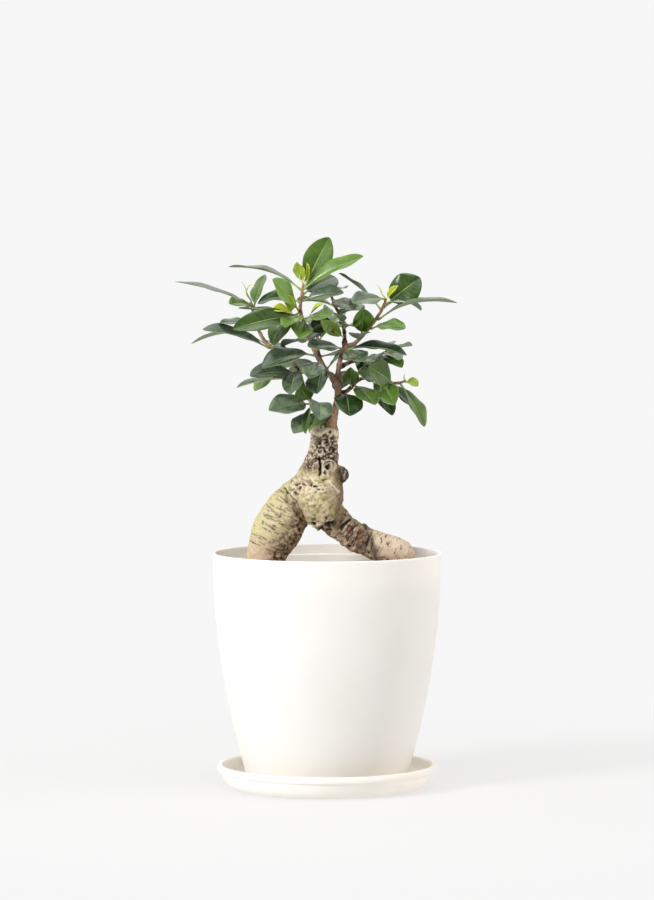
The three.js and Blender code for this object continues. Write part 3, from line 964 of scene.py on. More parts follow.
# How many short cracks cross the left leg.
SHORT_CRACKS = 90
# Lines and spots on the front of the roots, in millimetres: x, z, and a width for each spot.
WORM_FOLDS = (
    [[-23.6, 214.5], [-23, 219], [-20, 222.5], [-16.5, 221], [-13.5, 218.5]],
    [[-13.8, 225.8], [-9, 221.8], [-4, 217]],
    [[-14.5, 216.4], [-11, 217.6], [-7.5, 215], [-3.4, 215.6]],
    [[-19.6, 218.8], [-17.4, 217.6]],
    [[1, 222], [4.4, 217.5], [7, 213.8]],
)
BULB_EDGE = [[-24.7, 223], [-26.3, 212], [-18.5, 201], [-14.5, 192.3]]
LEG_CRACKS = (
    [[20.5, 196], [17, 195], [13, 191], [10.4, 186.5]],
    [[24.5, 191.5], [18.5, 187.5], [15.5, 180]],
    [[34.5, 187.5], [31, 182], [29, 175]],
)
PITS = (
    [-19.4, 219.6, 0.9], [-11.3, 219.4, 0.9], [-9, 218.9, 0.8], [-7.8, 214.6, 0.8], [-22.2, 213.6, 0.9],
    [-1.9, 223.8, 0.9], [-0.6, 196.3, 1.1], [-9.6, 192.8, 1.3], [-4.6, 190.2, 1.1], [2.4, 189.5, 1.6],
    [-1.2, 228.9, 1.2], [0.9, 232.6, 1.0], [-4.9, 248.6, 1.0], [-9.4, 253.6, 0.8], [-2.4, 255, 0.8],
    [16.3, 174.6, 1.2], [3.5, 252, 1.1],
)
PALE_KNOBS = (
    [1.2, 194.4, 0.9], [0.2, 226.2, 0.9], [-5.4, 215.7, 1.2], [-8.6, 256.4, 1.8], [-4.4, 257.2, 1.6],
    [4.8, 255.6, 1.3], [5.6, 251.6, 1.3], [-3.2, 250.4, 1.1], [-5.6, 224.2, 1.0], [14.2, 175.6, 0.8],
    [-14.6, 190.8, 1.8], [-11.8, 188.8, 1.6], [-3.6, 192.6, 1.6], [-1.4, 188.6, 1.3], [-20.8, 228, 1.6],
)
DARK_SPOTS = (
    [2.2, 204.2, 0.8], [-13, 207, 0.7], [7.6, 212, 0.7], [-8, 204.6, 0.7], [-5.4, 205, 0.7], [5.4, 200, 0.7],
    [-15, 211.4, 0.6], [-3, 209.6, 0.6], [11, 207, 0.8], [-5.5, 186.8, 1.0],
)


def short_cracks(along, across, count, seed):
    """Darkness of short cracks across a limb: a hump of the distance along it, faded out at each crack's
    ends."""
    draw = np.random.default_rng(seed)
    dark = np.zeros(len(along))
    for _ in range(count):
        middle = draw.uniform(along.min(), along.max()), draw.uniform(-14, 14)
        half = draw.uniform(1.2, 3.4)
        lean = draw.uniform(-0.15, 0.15)
        near = hump(along - middle[0] - lean * (across - middle[1]), 0.42)
        dark = np.maximum(dark, near * smooth_step(np.abs(across - middle[1]), half + 0.6, half - 0.4))
    return dark


def root_marks(points):
    """Masks from 0 to 1 of the roots' features, for points in millimetres."""
    x, y, z = points.T
    wander = np.stack([lattice_noise(points, 4.5, seed) for seed in (11, 12, 13)], 1)
    bent = points + 1.3 * wander + 0.5 * np.roll(wander, 1, axis=1)
    front = smooth_step(-y, 0, 5)
    limbs = {name: limb_values(points, line) for name, line in ROOT_LINES.items()}
    places = {name: limb_place(points, line) for name, line in ROOT_LINES.items()}
    gaps = np.stack([limbs[name][1] for name in ROOT_LINES])
    weight = np.exp(-(gaps - gaps.min(0)) / 1.2)
    weight /= weight.sum(0)
    share = dict(zip(ROOT_LINES, weight))
    marks = {}
    slope = z - 0.35 * np.abs(x + 3)
    marks["neck"] = smooth_step(slope + 1.8 * lattice_noise(points, 7, 21), 228, 234)
    marks["rim"] = smooth_step(z + 1.8 * lattice_noise(points, 5, 22), 251.5, 255.5)
    marks["pale_side"] = smooth_step(-x + 2 * lattice_noise(points, 6, 20), 5, 10) * marks["neck"]
    marks["shoulder"] = hump(np.hypot(x + 13, (z - 233) * 1.2), 6)
    marks["stub"] = smooth_step(x + 0.2 * (z - 226) + lattice_noise(points, 4, 19), 5, 10)
    marks["stub"] *= smooth_step(z, 214, 221) * smooth_step(z, 240, 234)
    scar = np.hypot(bent[:, 0] - 1.1, bent[:, 2] - 232.6)
    small_scar = np.hypot(bent[:, 0] + 1.2, bent[:, 2] - 228.9)
    arch = hump(scar - 4.4, 0.7) * smooth_step(z, 227, 231) + 0.6 * hump(scar - 2.7, 0.5)
    marks["scar_ring"] = front * (arch + 0.7 * hump(small_scar - 2.2, 0.55)).clip(0, 1)
    marks["scar_pit"] = front * smooth_step(scar, 2.4, 1.4)
    marks["cleft"] = front * hump(off_line(bent, [[-4.9, 238], [-4.3, 233], [-4.7, 227.5]]), 1.1)
    folds = [hump(off_line(bent, line), width) for line, width in zip(WORM_FOLDS, (1.3, 0.9, 1.3, 1, 0.7))]
    marks["folds"] = front * sum(folds).clip(0, 1)
    marks["folded"] = front * hump(off_line(points, [[-22, 216], [-16, 220], [-4, 216.5]]), 4.5)
    over = off_line(bent, BULB_EDGE) * np.sign(0.83 * (bent[:, 0] + 25) + 0.56 * (bent[:, 2] - 212))
    at_edge = front * smooth_step(z, 186, 194) * smooth_step(z, 228, 219)
    marks["edge"] = at_edge * smooth_step(over, -1.2, 1.2) * smooth_step(over, 11, 2)
    marks["under_edge"] = at_edge * hump(over + 2.6, 2.2)
    cracks = [hump(off_line(bent, line), width) for line, width in zip(LEG_CRACKS, (0.85, 0.6, 0.7))]
    marks["cracks"] = front * (cracks[0] + 0.6 * cracks[1] + 0.5 * cracks[2]).clip(0, 1)
    marks["pits"] = front * spots(bent, PITS).clip(0, 1)
    marks["knobs"] = front * spots(bent, PALE_KNOBS).clip(0, 1)
    marks["dots"] = front * spots(bent, DARK_SPOTS).clip(0, 1)
    marks["worms"] = (1 - np.abs(lattice_noise(bent * [0.7, 1, 1.3], 3.0, 48))) ** 3
    marks["lumps"] = lattice_noise(points, 3.0, 39)
    marks["knob"] = hump(np.hypot(x + 20, z - 227.5), 3.5) * front
    ragged = smooth_step(z + 2 * lattice_noise(points, 5, 24), 198, 191) * share["body"]
    marks["ragged"] = ragged * smooth_step(abs(x + 6), 14, 9)
    marks["stub_end"] = smooth_step(x + 0.7 * lattice_noise(points, 2, 18), 11, 13) * marks["stub"]
    offset = limbs["left"][0]
    outward = unit(np.stack([-np.ones_like(z), 0 * z, 0.55 + 0 * z], 1))
    side = (offset * outward).sum(1) / np.linalg.norm(offset, axis=1).clip(1)
    inner = smooth_step(-side + 0.45 * lattice_noise(points, 9, 25), -0.15, 0.65)
    marks["left_inner"] = share["left"] * inner
    marks["left_top"] = share["left"] * smooth_step(side + 0.3 * lattice_noise(points, 9, 30), 0.5, 0.95)
    marks["left_foot"] = share["left"] * smooth_step(z + 5 * lattice_noise(points, 9, 26), 188, 164)
    under = smooth_step(-limbs["right"][0][:, 2] / 10 + 0.4 * lattice_noise(points, 5, 27), 0.0, 0.75)
    right = share["right"] + share["sinker"]
    marks["right_under"] = right * under
    marks["right_start"] = right * smooth_step(x + 2.5 * lattice_noise(points, 6, 28), 38, 27)
    marks["right_band"] = right * hump(x - 31 + 0.4 * (z - 180) + 2 * lattice_noise(points, 6, 28), 3)
    marks["right_top"] = right * smooth_step(limbs["right"][0][:, 2] / 10, 0.45, 0.95)
    # Painted shade: the bulb's right side, away from the light, is browned in root_colors.
    marks["bulb_dark"] = share["body"] * smooth_step(x + 2.5 * lattice_noise(points, 8, 17), 0, 10)
    marks["bulb_dark"] *= smooth_step(z, 240, 226)
    owner = weight.argmax(0)
    limb = np.zeros((len(points), 3))
    for k, name in enumerate(ROOT_LINES):
        mine = owner == k
        limb_along, limb_offset = places[name]
        line = np.array(ROOT_LINES[name])[:, :3]
        chord = unit(line[-1] - line[0])
        first = unit(np.cross(chord, [0, 1, 0]))
        second = np.cross(chord, first)
        parts = [limb_along + 200 * k, limb_offset @ first, limb_offset @ second]
        limb[mine] = np.stack(parts, 1)[mine]
    left_line = np.array(ROOT_LINES["left"])[:, :3]
    left_across = places["left"][1] @ unit(np.cross(unit(left_line[-1] - left_line[0]), [0, 1, 0]))
    marks["short_cracks"] = share["left"] * short_cracks(places["left"][0], left_across, SHORT_CRACKS, 71)
    marks["dashes"] = (1 - 0.8 * share["body"] - 0.5 * marks["neck"]).clip(0.12, 1)
    return marks, limb, share


def root_relief(points, marks, limb):
    """How far each point of the roots moves outwards, in millimetres: wide lumps, wrinkles across the limbs,
    scales on the neck, the corky rim, scars, clefts, folds, knobs and warts."""
    move = 0.55 * layered_noise(points, 9, 31, 2) + 0.2 * layered_noise(points, 2.6, 32, 2)
    wrinkles = (1 - np.abs(lattice_noise(limb * [1 / 2.2, 1 / 12, 1 / 12], 1, 33))) ** 5
    move -= (0.34 * marks["dashes"] + 0.35 * marks["right_start"]) * wrinkles
    scaly = (marks["neck"] + marks["shoulder"] + 0.35 * marks["stub"]).clip(0, 1)
    plates = np.abs(lattice_noise(points * [1, 1, 0.75], 3.0, 35))
    move += scaly * (1.5 * plates**0.6 - 0.75 + 0.35 * layered_noise(points, 1.7, 36, 2))
    move += marks["rim"] * (0.7 + 0.9 * lattice_noise(points, 3.2, 37))
    move += 0.9 * marks["scar_ring"] - 0.9 * marks["scar_pit"] - 2.4 * marks["cleft"]
    lumpy = 1 + 0.5 * lattice_noise(points, 2.4, 38)
    move += 1.0 * marks["folds"] * lumpy + marks["folded"] * (1.5 * marks["worms"] - 1.0)
    move += 1.0 * marks["edge"] - 0.7 * marks["under_edge"] + 1.5 * marks["knob"]
    move -= 1.5 * marks["cracks"] + 1.2 * marks["pits"] + 0.3 * marks["short_cracks"]
    move += 1.0 * marks["knobs"] + 0.35 * marks["dots"]
    move += marks["ragged"] * 2.3 * marks["lumps"]
    move += marks["left_inner"] * (0.6 * lattice_noise(points, 2.6, 40) + 0.4 * lattice_noise(points, 5, 41))
    move += marks["right_start"] * 0.55 * lattice_noise(points, 3.4, 42)
    move += marks["right_under"] * 0.35 * lattice_noise(points, 2.2, 43)
    move += marks["stub_end"] * 0.5 * lattice_noise(points, 2.4, 44)
    return move


def root_colors(points, marks, share, settings):
    """Linear colours of the roots' skin, laid over each other region by region."""
    cloud = 0.5 + 0.5 * layered_noise(points, 8, 51, 3).clip(-1, 1)
    fine = 0.5 + 0.5 * layered_noise(points, 2.2, 52, 2).clip(-1, 1)
    flecks = 0.5 + 0.5 * layered_noise(points, 1.5, 53, 2).clip(-1, 1)
    z = points[:, 2]
    olive = np.array(settings.olive)
    cork = np.array(settings.cork)
    color = np.tile(settings.tan, (len(points), 1)).astype(float)
    body = share["body"]
    inner = marks["left_inner"]
    lit_under = 1 - 0.8 * marks["right_under"]
    scaly = (marks["neck"] + marks["shoulder"]).clip(0, 1)
    mottled = 0.5 * cloud + 0.5 * fine
    gaps = smooth_step(marks["worms"], 0.35, 0.12)
    layers = [
        (olive, body * (0.35 + 0.65 * smooth_step(cloud, 0.25, 0.7))),
        (olive, share["left"] * (0.3 + 0.5 * cloud)),
        (olive * [1.0, 1.02, 0.88], marks["left_top"] * 0.5),
        (np.array(settings.tan) * [1.02, 0.96, 0.95], marks["left_foot"] * 0.9),
        (settings.brown, body * smooth_step(fine, 0.42, 0.2) * 0.5),
        (cork * 1.1, body * smooth_step(fine, 0.6, 0.8) * 0.5),
        # The left leg's inner side: its own browner bark, darkened further by painted shade.
        (settings.brown, inner * (0.5 + 0.5 * smooth_step(fine, 0.75, 0.35))),
        (settings.dark, inner * smooth_step(fine, 0.4, 0.15) * 0.8),
        (cork, inner * smooth_step(flecks, 0.62, 0.8) * 0.75),
        # Painted shade on the bulb's right side.
        (settings.brown, marks["bulb_dark"] * (0.45 + 0.6 * fine).clip(0, 1)),
        (settings.brown, marks["right_start"] * (0.6 + 0.4 * smooth_step(fine, 0.7, 0.3)) * lit_under),
        (olive * 0.6, marks["right_start"] * marks["right_top"] * 0.5),
        (settings.dark, marks["right_start"] * smooth_step(cloud, 0.5, 0.2) * 0.55 * lit_under),
        (settings.dark, marks["right_band"] * 0.75),
        (settings.brown, marks["right_under"] * (0.05 + 0.5 * smooth_step(fine, 0.55, 0.3))),
        (settings.grey, scaly * 0.95),
        (cork, marks["pale_side"] * (0.1 + 0.4 * cloud)),
        (settings.dark, scaly * smooth_step(mottled, 0.58, 0.44) * (1 - 0.5 * marks["pale_side"])),
        (cork, scaly * smooth_step(flecks, 0.62, 0.76) * 0.85),
        (settings.dark, marks["stub"] * (0.5 + 0.4 * smooth_step(z, 233, 229))),
        (cork, marks["stub"] * smooth_step(z, 231, 234) * smooth_step(fine, 0.3, 0.6) * 0.8),
        (cork, marks["folded"] * smooth_step(marks["worms"], 0.35, 0.7) * 0.85),
        (settings.brown, marks["folded"] * gaps),
        (cork * 1.08, marks["folds"] * 0.6),
        (cork, marks["ragged"] * smooth_step(marks["lumps"], -0.05, 0.25) * 0.8),
        (settings.dark, marks["ragged"] * smooth_step(marks["lumps"], -0.08, -0.3) * 0.95),
        (cork, marks["rim"] * smooth_step(fine + 0.2 * marks["pale_side"], 0.3, 0.6)),
        (cork, (marks["scar_ring"] * 0.7).clip(0, 1)),
        # Painted shadow: brown below the bulb's edge, where the bulb overhangs the left leg.
        (settings.brown, marks["under_edge"] * (0.55 + 0.4 * fine)),
        (settings.dark, marks["scar_pit"] * 0.75),
        (cork * 1.1, marks["knobs"] * 0.8),
        # Dark bark in the cleft, pits and cracks, darkened further by painted shade in the carved grooves.
        (np.array(settings.dark) * 0.4, (marks["cleft"] * 1.2).clip(0, 1)),
        (np.array(settings.dark) * 0.6, (marks["pits"] + marks["cracks"]).clip(0, 1) * 0.9),
        (settings.dark, marks["dots"] * 0.9),
        (settings.dark, marks["short_cracks"] * 0.65),
        (settings.dark, marks["stub_end"] * (0.7 + 0.3 * fine)),
    ]
    for other, strength in layers:
        color = toward(color, other, strength)
    return color


def edge_pairs(mesh):
    """Both directions of every edge: the points at the starts, and the points at the ends."""
    edges = np.empty(len(mesh.edges) * 2, int)
    mesh.edges.foreach_get("vertices", edges)
    return np.concatenate([edges[0::2], edges[1::2]]), np.concatenate([edges[1::2], edges[0::2]])


def relaxed(place, pairs, passes):
    """Points moved halfway to the mean of their neighbours, a number of times."""
    starts, ends = pairs
    count = len(place)
    many = np.bincount(starts, minlength=count)[:, None]
    for _ in range(passes):
        mean = np.stack([np.bincount(starts, place[ends, k], count) for k in range(3)], 1) / many
        place = place + 0.5 * (mean - place)
    return place


def shade_hollows_light_crests(color, depth, settings):
    """Painted shade in the hollows and a painted highlight on the crests: depth is how far a point lies below
    its relaxed place.
    """
    color = toward(color, np.array(settings.dark) * 0.7, smooth_step(depth, 0.06, 0.5) * 0.8)
    return toward(color, np.array(settings.cork) * 1.15, smooth_step(-depth, 0.08, 0.5) * 0.45)


class BONSAI_OT_roots(bpy.types.Operator):
    """Make the swollen roots: the CAD body evenly faced, rounded at its joins, then carved and coloured"""

    bl_idname = "bonsai.roots"
    bl_label = "Swollen Roots"

    def execute(self, context):
        settings = context.scene.bonsai_roots
        thing, place = root_blank(settings)
        if len(place) < 1000:
            raise RuntimeError("the swollen roots came out empty: make Detail smaller")
        normals = point_normals(thing.data, place)
        marks, limb, share = root_marks(place / MM)
        move = SMOOTHING_LOSS + settings.relief * root_relief(place / MM, marks, limb)
        place = place + normals * move[:, None] * MM
        normals = point_normals(thing.data, place)
        color = root_colors(place / MM, marks, share, settings)
        pairs = edge_pairs(thing.data)
        # Painted shade in the roots' hollows and painted highlights on their crests, from hollows of two
        # sizes.
        for passes in (3, 14):
            depth = ((relaxed(place, pairs, passes) - place) * normals).sum(1) / MM
            color = shade_hollows_light_crests(color, depth, settings)
        set_values(thing.data, {
            "bark_color": color,
            "limb": limb * MM,
            "dashes": marks["dashes"][:, None],
        })
        finish_piece(thing, materials["roots"], ["swollen_root"])
        return {"FINISHED"}


# ---------- stem and branches ----------
STEMS = (
    "scion_stem", "branch_upper_right", "branch_upper_middle", "branch_upper_left", "branch_lower_left",
    "branch_lower_right", "branch_middle_right", "branch_back",
)
# How tan each stem's bark is at its foot and at its tip, and how far its foot reaches back.
STEM_TONES = {
    "scion_stem": (0.75, 0.3, 3.0),
    "branch_upper_right": (0.45, 0.9, 3.5),
    "branch_upper_middle": (0.1, 0.25, 3.5),
    "branch_upper_left": (0.5, 1.0, 4.0),
    "branch_lower_left": (0.15, 0.6, 4.5),
    "branch_lower_right": (0.1, 0.6, 4.0),
    "branch_middle_right": (0.1, 0.5, 4.5),
    "branch_back": (0.2, 0.5, 4.5),
}


def stem_line(name):
    """Rows of x, y, z and radius of a stem, from its CAD rings. Its foot is carried back into its parent."""
    rows = cad_stem(name)
    back = unit(rows[0, :3] - rows[1, :3]) * STEM_TONES[name][2] * MM
    foot = [*(rows[0, :3] + back), rows[0, 3] * 1.25]
    return np.vstack([foot, rows])


def stem_skin(name, settings):
    """Round rings along a stem. Its radius wanders with layered noise, swells in a hump at each old leaf scar
    and at its foot, and closes as a quarter circle at its tip."""
    rows = stem_line(name)
    length = np.linalg.norm(np.diff(rows[:, :3], axis=0), axis=1).sum()
    count = int(length / settings.spacing) + 2
    path = smooth_path(rows, np.linspace(0, 1, count))
    line = path[:, :3]
    angle = turn_angles(settings.sides)
    around = round_directions(line, settings.sides)
    share = np.linspace(0, 1, count)[:, None]
    seed = STEMS.index(name) * 7 + 60
    bare = (line[:, None] + around * path[:, None, 3:]).reshape(-1, 3)
    lumps = layered_noise(bare, 3.4 * MM, seed, 3).reshape(count, -1)
    along = share * length / MM
    scars = 0.16 * hump((along + 2.5 * np.sin(seed + angle)) % 7.5 - 3.7, 0.7)
    collar = 0.5 * hump(along - STEM_TONES[name][2], 2.2) if name != "scion_stem" else 0.3 * hump(along, 5)
    radius = path[:, 3:] * (1 + 0.16 * lumps + scars + collar)
    closing = np.sqrt((1 - smooth_step(share, 1 - 1.5 * MM / length, 1.0) * 0.96).clip(0, 1))
    grid = line[:, None] + around * (radius * closing)[..., None]
    low, high, _ = STEM_TONES[name]
    tan = low + (high - low) * share + 0.4 * lumps + 0.35 * (scars / 0.16)
    limb = np.stack(np.broadcast_arrays(along * MM, radius * np.cos(angle), radius * np.sin(angle)), -1)
    return Skin.over(grid, tan=tan, limb=limb)


class BONSAI_OT_stems(bpy.types.Operator):
    """Make the grafted stem and its branches along the middle lines of their CAD nodes"""

    bl_idname = "bonsai.stems"
    bl_label = "Stem and Branches"

    def execute(self, context):
        for name in STEMS:
            piece = name.replace("branch", "twig").replace("scion_stem", "grafted_stem")
            skin = stem_skin(name, context.scene.bonsai_twigs)
            make_piece(piece, skin, materials["twig"], "twig_bark", name)
        return {"FINISHED"}


# ---------- leaves ----------
# Places across a blade, dense by the midrib and by the edges.
ACROSS = np.array([1, 0.97, 0.88, 0.74, 0.56, 0.38, 0.22, 0.11, 0.05, 0])
UPPER = np.concatenate([ACROSS, -ACROSS[-2::-1]])
AROUND = np.concatenate([UPPER, UPPER[-2:0:-1]])
LOWER_SIDE = np.concatenate([np.zeros(len(UPPER)), np.ones(len(UPPER) - 2)])
LOWER_SIDE[[0, len(UPPER) - 1]] = 0.5
# Places along a leaf, dense at its stalk and at its tip. The first stands inside the twig.
ALONG = np.concatenate([
    [-0.035, 0, 0.035, 0.07, 0.09, 0.1, 0.115, 0.13, 0.15], np.linspace(0.18, 0.94, 24),
    [0.96, 0.975, 0.987, 0.995, 1],
])
STALK_SHARE = 0.1


def leaf_skin(middles, ups, half_width, fold, tone, seed, settings):
    """A closed blade on its stalk. At a share s of the blade its half width is sin(pi s^b)^p of the widest.
    Its halves rise from the rib by the fold and level out, and its edges wave and turn down a little. The
    section's half thickness is (1 - |a|^n)^(1/2): round on the stalk, and flat with a rounded edge on the
    blade. A groove runs over the midrib and a ridge under it."""
    draw = np.random.default_rng(seed)
    belly = draw.uniform(1.02, 1.16)
    power = draw.uniform(0.6, 0.7)
    half_width = half_width * settings.fullness
    length = np.linalg.norm(np.diff(middles, axis=0), axis=1).sum()
    rows = smooth_path(np.hstack([middles, ups]), ALONG.clip(0, 1))
    line = rows[:, :3]
    tangents = unit(np.gradient(line[1:], axis=0))
    tangents = np.vstack([tangents[:1], tangents])
    line[0] += tangents[0] * ALONG[0] * length
    up = rows[:, 3:]
    up = unit(up - (up * tangents).sum(1, keepdims=True) * tangents)
    side = np.cross(tangents, up)
    blade = ((ALONG - STALK_SHARE) / (1 - STALK_SHARE)).clip(0, 1)
    shape = np.sin(np.pi * blade**belly).clip(0, 1) ** power
    opening = smooth_step(blade, 0.0, 0.09)
    stalk = settings.stalk / 2 * (1 + 0.35 * hump(ALONG, 0.03)) * min(1.0, half_width / (7 * MM))
    width = np.maximum(stalk * (1 - 0.75 * smooth_step(blade, 0.8, 1)), half_width * shape)[:, None]
    thick = (stalk * (1 - opening) + settings.thickness / 2 * opening)[:, None]
    thick = thick * (1 - 0.6 * smooth_step(blade, 0.9, 1))[:, None]
    a = AROUND[None]
    bend = opening[:, None]
    n = 2 + 6 * bend
    half = np.sqrt((1 - np.abs(a) ** n).clip(0, 1))
    face = 1 - 2 * LOWER_SIDE[None]
    phase = draw.uniform(0, 6.28, 2)
    waves = np.sin(2 * np.pi * draw.uniform(1.1, 2.2) * blade[:, None] + phase[(a < 0).astype(int)])
    rise = fold * (1.3 * np.abs(a) - 0.3 * a**2) + settings.wave * 2 * waves * np.abs(a) ** 2.5
    rise = rise - draw.uniform(0.02, 0.09) * np.abs(a) ** 7
    off_rib = np.abs(a) * width / MM
    groove = 0.16 * np.exp(-((off_rib / 0.55) ** 2)) * bend * (1 - blade[:, None]) ** 0.4
    ridge = 0.42 * np.exp(-((off_rib / 0.6) ** 2)) * bend * (1 - blade[:, None]) ** 0.7
    lift = half * thick * face - np.where(face > 0, groove, ridge) * MM
    height = width * rise * bend + lift
    reach = a * width * (1 - bend * (1 - math.cos(fold)))
    grid = line[:, None] + side[:, None] * reach[..., None] + up[:, None] * height[..., None]
    values = np.broadcast_arrays(a, ALONG.clip(0, 1)[:, None], LOWER_SIDE[None])
    tones = np.full(a.shape[1] * len(ALONG), tone)
    # The columns are taken backwards, so that the faces point out of the leaf.
    blade_values = np.stack(values, -1)
    return Skin.over(grid[:, ::-1], blade=blade_values[:, ::-1], tone=tones)


def bent_line(foot, tip, up, arch, count=9):
    """Middle points and upward directions of a leaf from foot to tip: a quadratic curve whose handle stands
    at 42% of the way, raised by the arch times the length."""
    reach = tip - foot
    length = np.linalg.norm(reach)
    up = unit(up - (up @ reach) * reach / length**2)
    crest = foot + 0.42 * reach + up * arch * length
    t = np.linspace(0, 1, count)[:, None]
    line = (1 - t) ** 2 * foot + 2 * t * (1 - t) * crest + t**2 * tip
    return line, np.tile(up, (count, 1))


# Leaves whose look differs from the others': the CAD node and its tone, from 0 for the deepest green to 1 for
# the freshest. A tone below 0 is deep green under a painted grey sheen.
LEAF_TONES = {
    "leaf_upper_left_1": 0.38, "leaf_upper_left_2": 0.6, "leaf_upper_left_3": 0.12, "leaf_upper_left_4": -0.5,
    "leaf_upper_left_5": -0.7, "leaf_upper_left_6": 0.85, "leaf_upper_left_7": 0.22, "leaf_upper_left_8": 0.4,
    "leaf_upper_left_9": -0.6, "leaf_upper_left_10": -0.35, "leaf_upper_left_11": -0.8,
    "leaf_upper_left_12": -0.4, "leaf_lower_left_1": -0.5, "leaf_lower_left_2": 0.4,
    "leaf_lower_left_3": -0.4, "leaf_lower_left_4": -0.6, "leaf_lower_left_5": -0.4,
    "leaf_lower_left_6": -0.7, "leaf_lower_left_7": -0.5, "leaf_lower_left_8": -0.8,
    "leaf_lower_left_9": -0.7, "leaf_lower_left_10": -0.8, "leaf_upper_right_1": 0.15,
    "leaf_upper_right_2": -0.6, "leaf_upper_right_3": -0.5, "leaf_upper_right_4": 0.5,
    "leaf_upper_middle_1": 0.8, "leaf_upper_middle_2": 0.2, "leaf_stem_1": -0.6, "leaf_stem_2": -0.15,
    "leaf_stem_3": -0.5, "leaf_lower_right_1": 0.35, "leaf_lower_right_2": 0.3, "leaf_lower_right_3": 0.4,
    "leaf_lower_right_4": 0.45, "leaf_lower_right_5": 0.42, "leaf_lower_right_6": 0.05,
}
# How wide some blades are against their CAD nodes.
SLIM_LEAVES = {"leaf_upper_left_1": 0.84, "leaf_upper_left_6": 0.9}

# Leaves that grow between the CAD leaves, and folded young leaves. A row: where its foot is, either a stem
# and a share of its length or a point, then its tip, width, the way its upper face looks, arch, tone and
# fold. In millimetres.
INNER_LEAVES = [
    [("branch_lower_left", 0.97), (-70, -18, 349.5), 12, (-0.1, -0.8, 0.6), 0.1, 0.55, 0.3],
    [("branch_lower_left", 0.7), (-98, 10, 320), 7, (0, 0.3, 1), 0.3, 0.6, 0.5],
    [("branch_upper_left", 0.8), (-50, 6, 349.5), 18, (-0.2, -0.45, 0.85), 0.26, 0.12, 0.3],
    [("branch_upper_left", 0.7), (-39.6, -6, 320), 17, (-0.5, -0.75, 0.5), 0.3, 0.25, 0.25],
    [("branch_upper_left", 0.66), (-30, -34, 333), 14, (-0.2, -0.6, 0.7), 0.1, 0.6, 0.3],
    [("branch_upper_left", 0.6), (-19.6, -30, 325), 16, (0.1, -0.8, 0.5), 0.08, 0.7, 0.4],
    [("branch_upper_right", 0.8), (8.5, 8, 371), 13, (0.7, 0, 0.7), 0.1, 0.2, 0.3],
    [("branch_upper_middle", 0.9), (12, 30, 360), 14, (0.1, 0.2, 1), 0.12, 0.2, 0.3],
    [("branch_upper_right", 0.85), (68, 8, 344), 12, (0.2, 0.2, 0.9), 0.4, 0.6, 0.4],
    [("branch_upper_right", 0.2), (24.5, -30, 328.5), 15, (0, -0.6, 0.8), 0.1, 0.1, 0.25],
    [("branch_upper_right", 0.3), (26, -14, 346), 15, (0.2, -0.95, 0.3), 0.05, 0.5, 0.3],
    [("branch_upper_middle", 0.35), (-1, -26, 345), 16, (0, -0.7, 0.7), 0.1, 0.1, 0.3],
    [("branch_upper_middle", 0.5), (24, -20, 345), 16, (0.1, -0.6, 0.8), 0.1, 0.25, 0.3],
    [("branch_upper_left", 0.42), (-32, 16, 318), 16, (-0.2, 0.1, 1), 0.1, 0.1, 0.3],
    [("branch_upper_left", 0.5), (2, -8, 338), 13, (0.3, -0.8, 0.5), 0.1, 0.0, 0.25],
    [("branch_lower_left", 0.5), (-53, 10, 287), 15, (-0.2, -0.75, 0.6), 0.1, 1.0, 0.25],
    [("scion_stem", 0.1), (-13, 9, 256.5), 15, (-0.35, -0.9, 0.3), 0.12, 0.6, 0.2],
    [("branch_lower_left", 0.16), (-15, -28, 257), 8, (-0.6, -0.7, 0.3), 0.1, 0.2, 0.4],
    [("scion_stem", 0.45), (20, 24, 300), 14, (0.3, 0.3, 0.9), 0.1, 0.3, 0.3],
    [("branch_lower_right", 0.56), (22, -12, 300), 11, (-0.1, -0.9, 0.4), 0.05, 0.85, 0.3],
    [("branch_lower_right", 0.5), (47, -6, 269), 13, (0.3, -0.7, 0.6), 0.1, 0.1, 0.3],
    [("branch_lower_right", 0.7), (62, 6, 274), 12, (0.5, -0.5, 0.7), 0.12, 0.05, 0.3],
    [("branch_middle_right", 0.4), (39, -8, 307), 14, (0.1, -0.7, 0.7), 0.08, 0.3, 0.3],
    [("branch_middle_right", 0.55), (24, -2, 299), 14, (0, -0.9, 0.4), 0.08, 0.05, 0.3],
    [("branch_middle_right", 0.8), (52, -14, 309), 12, (0.2, -0.7, 0.7), 0.1, 0.35, 0.3],
    [("branch_middle_right", 0.5), (30, 42, 300), 16, (0.2, 0.5, 0.8), 0.12, 0.3, 0.3],
    [("branch_middle_right", 0.8), (62, 30, 318), 15, (0.3, 0.3, 0.9), 0.12, 0.35, 0.3],
    [("branch_back", 0.75), (-26, 52, 330), 16, (-0.3, 0.4, 0.85), 0.12, 0.35, 0.3],
    [("branch_back", 0.8), (14, 62, 342), 16, (0.2, 0.3, 0.9), 0.12, 0.4, 0.3],
    [("branch_back", 0.35), (22, 36, 318), 15, (0.3, 0.4, 0.85), 0.1, 0.3, 0.3],
    [("branch_back", 0.4), (-30, 30, 296), 15, (-0.3, 0.5, 0.8), 0.1, 0.25, 0.3],
    [("branch_upper_middle", 0.6), (26, 34, 344), 15, (0.3, 0.4, 0.85), 0.1, 0.35, 0.3],
    [("branch_upper_middle", 0.7), (-22, 34, 350), 15, (-0.3, 0.4, 0.85), 0.12, 0.4, 0.3],
    [("branch_lower_left", 0.45), (-44, 24, 322), 15, (-0.1, 0.4, 0.9), 0.1, 0.3, 0.3],
    [("branch_lower_left", 0.25), (-40, 18, 300), 15, (-0.3, 0.3, 0.9), 0.1, 0.25, 0.3],
]
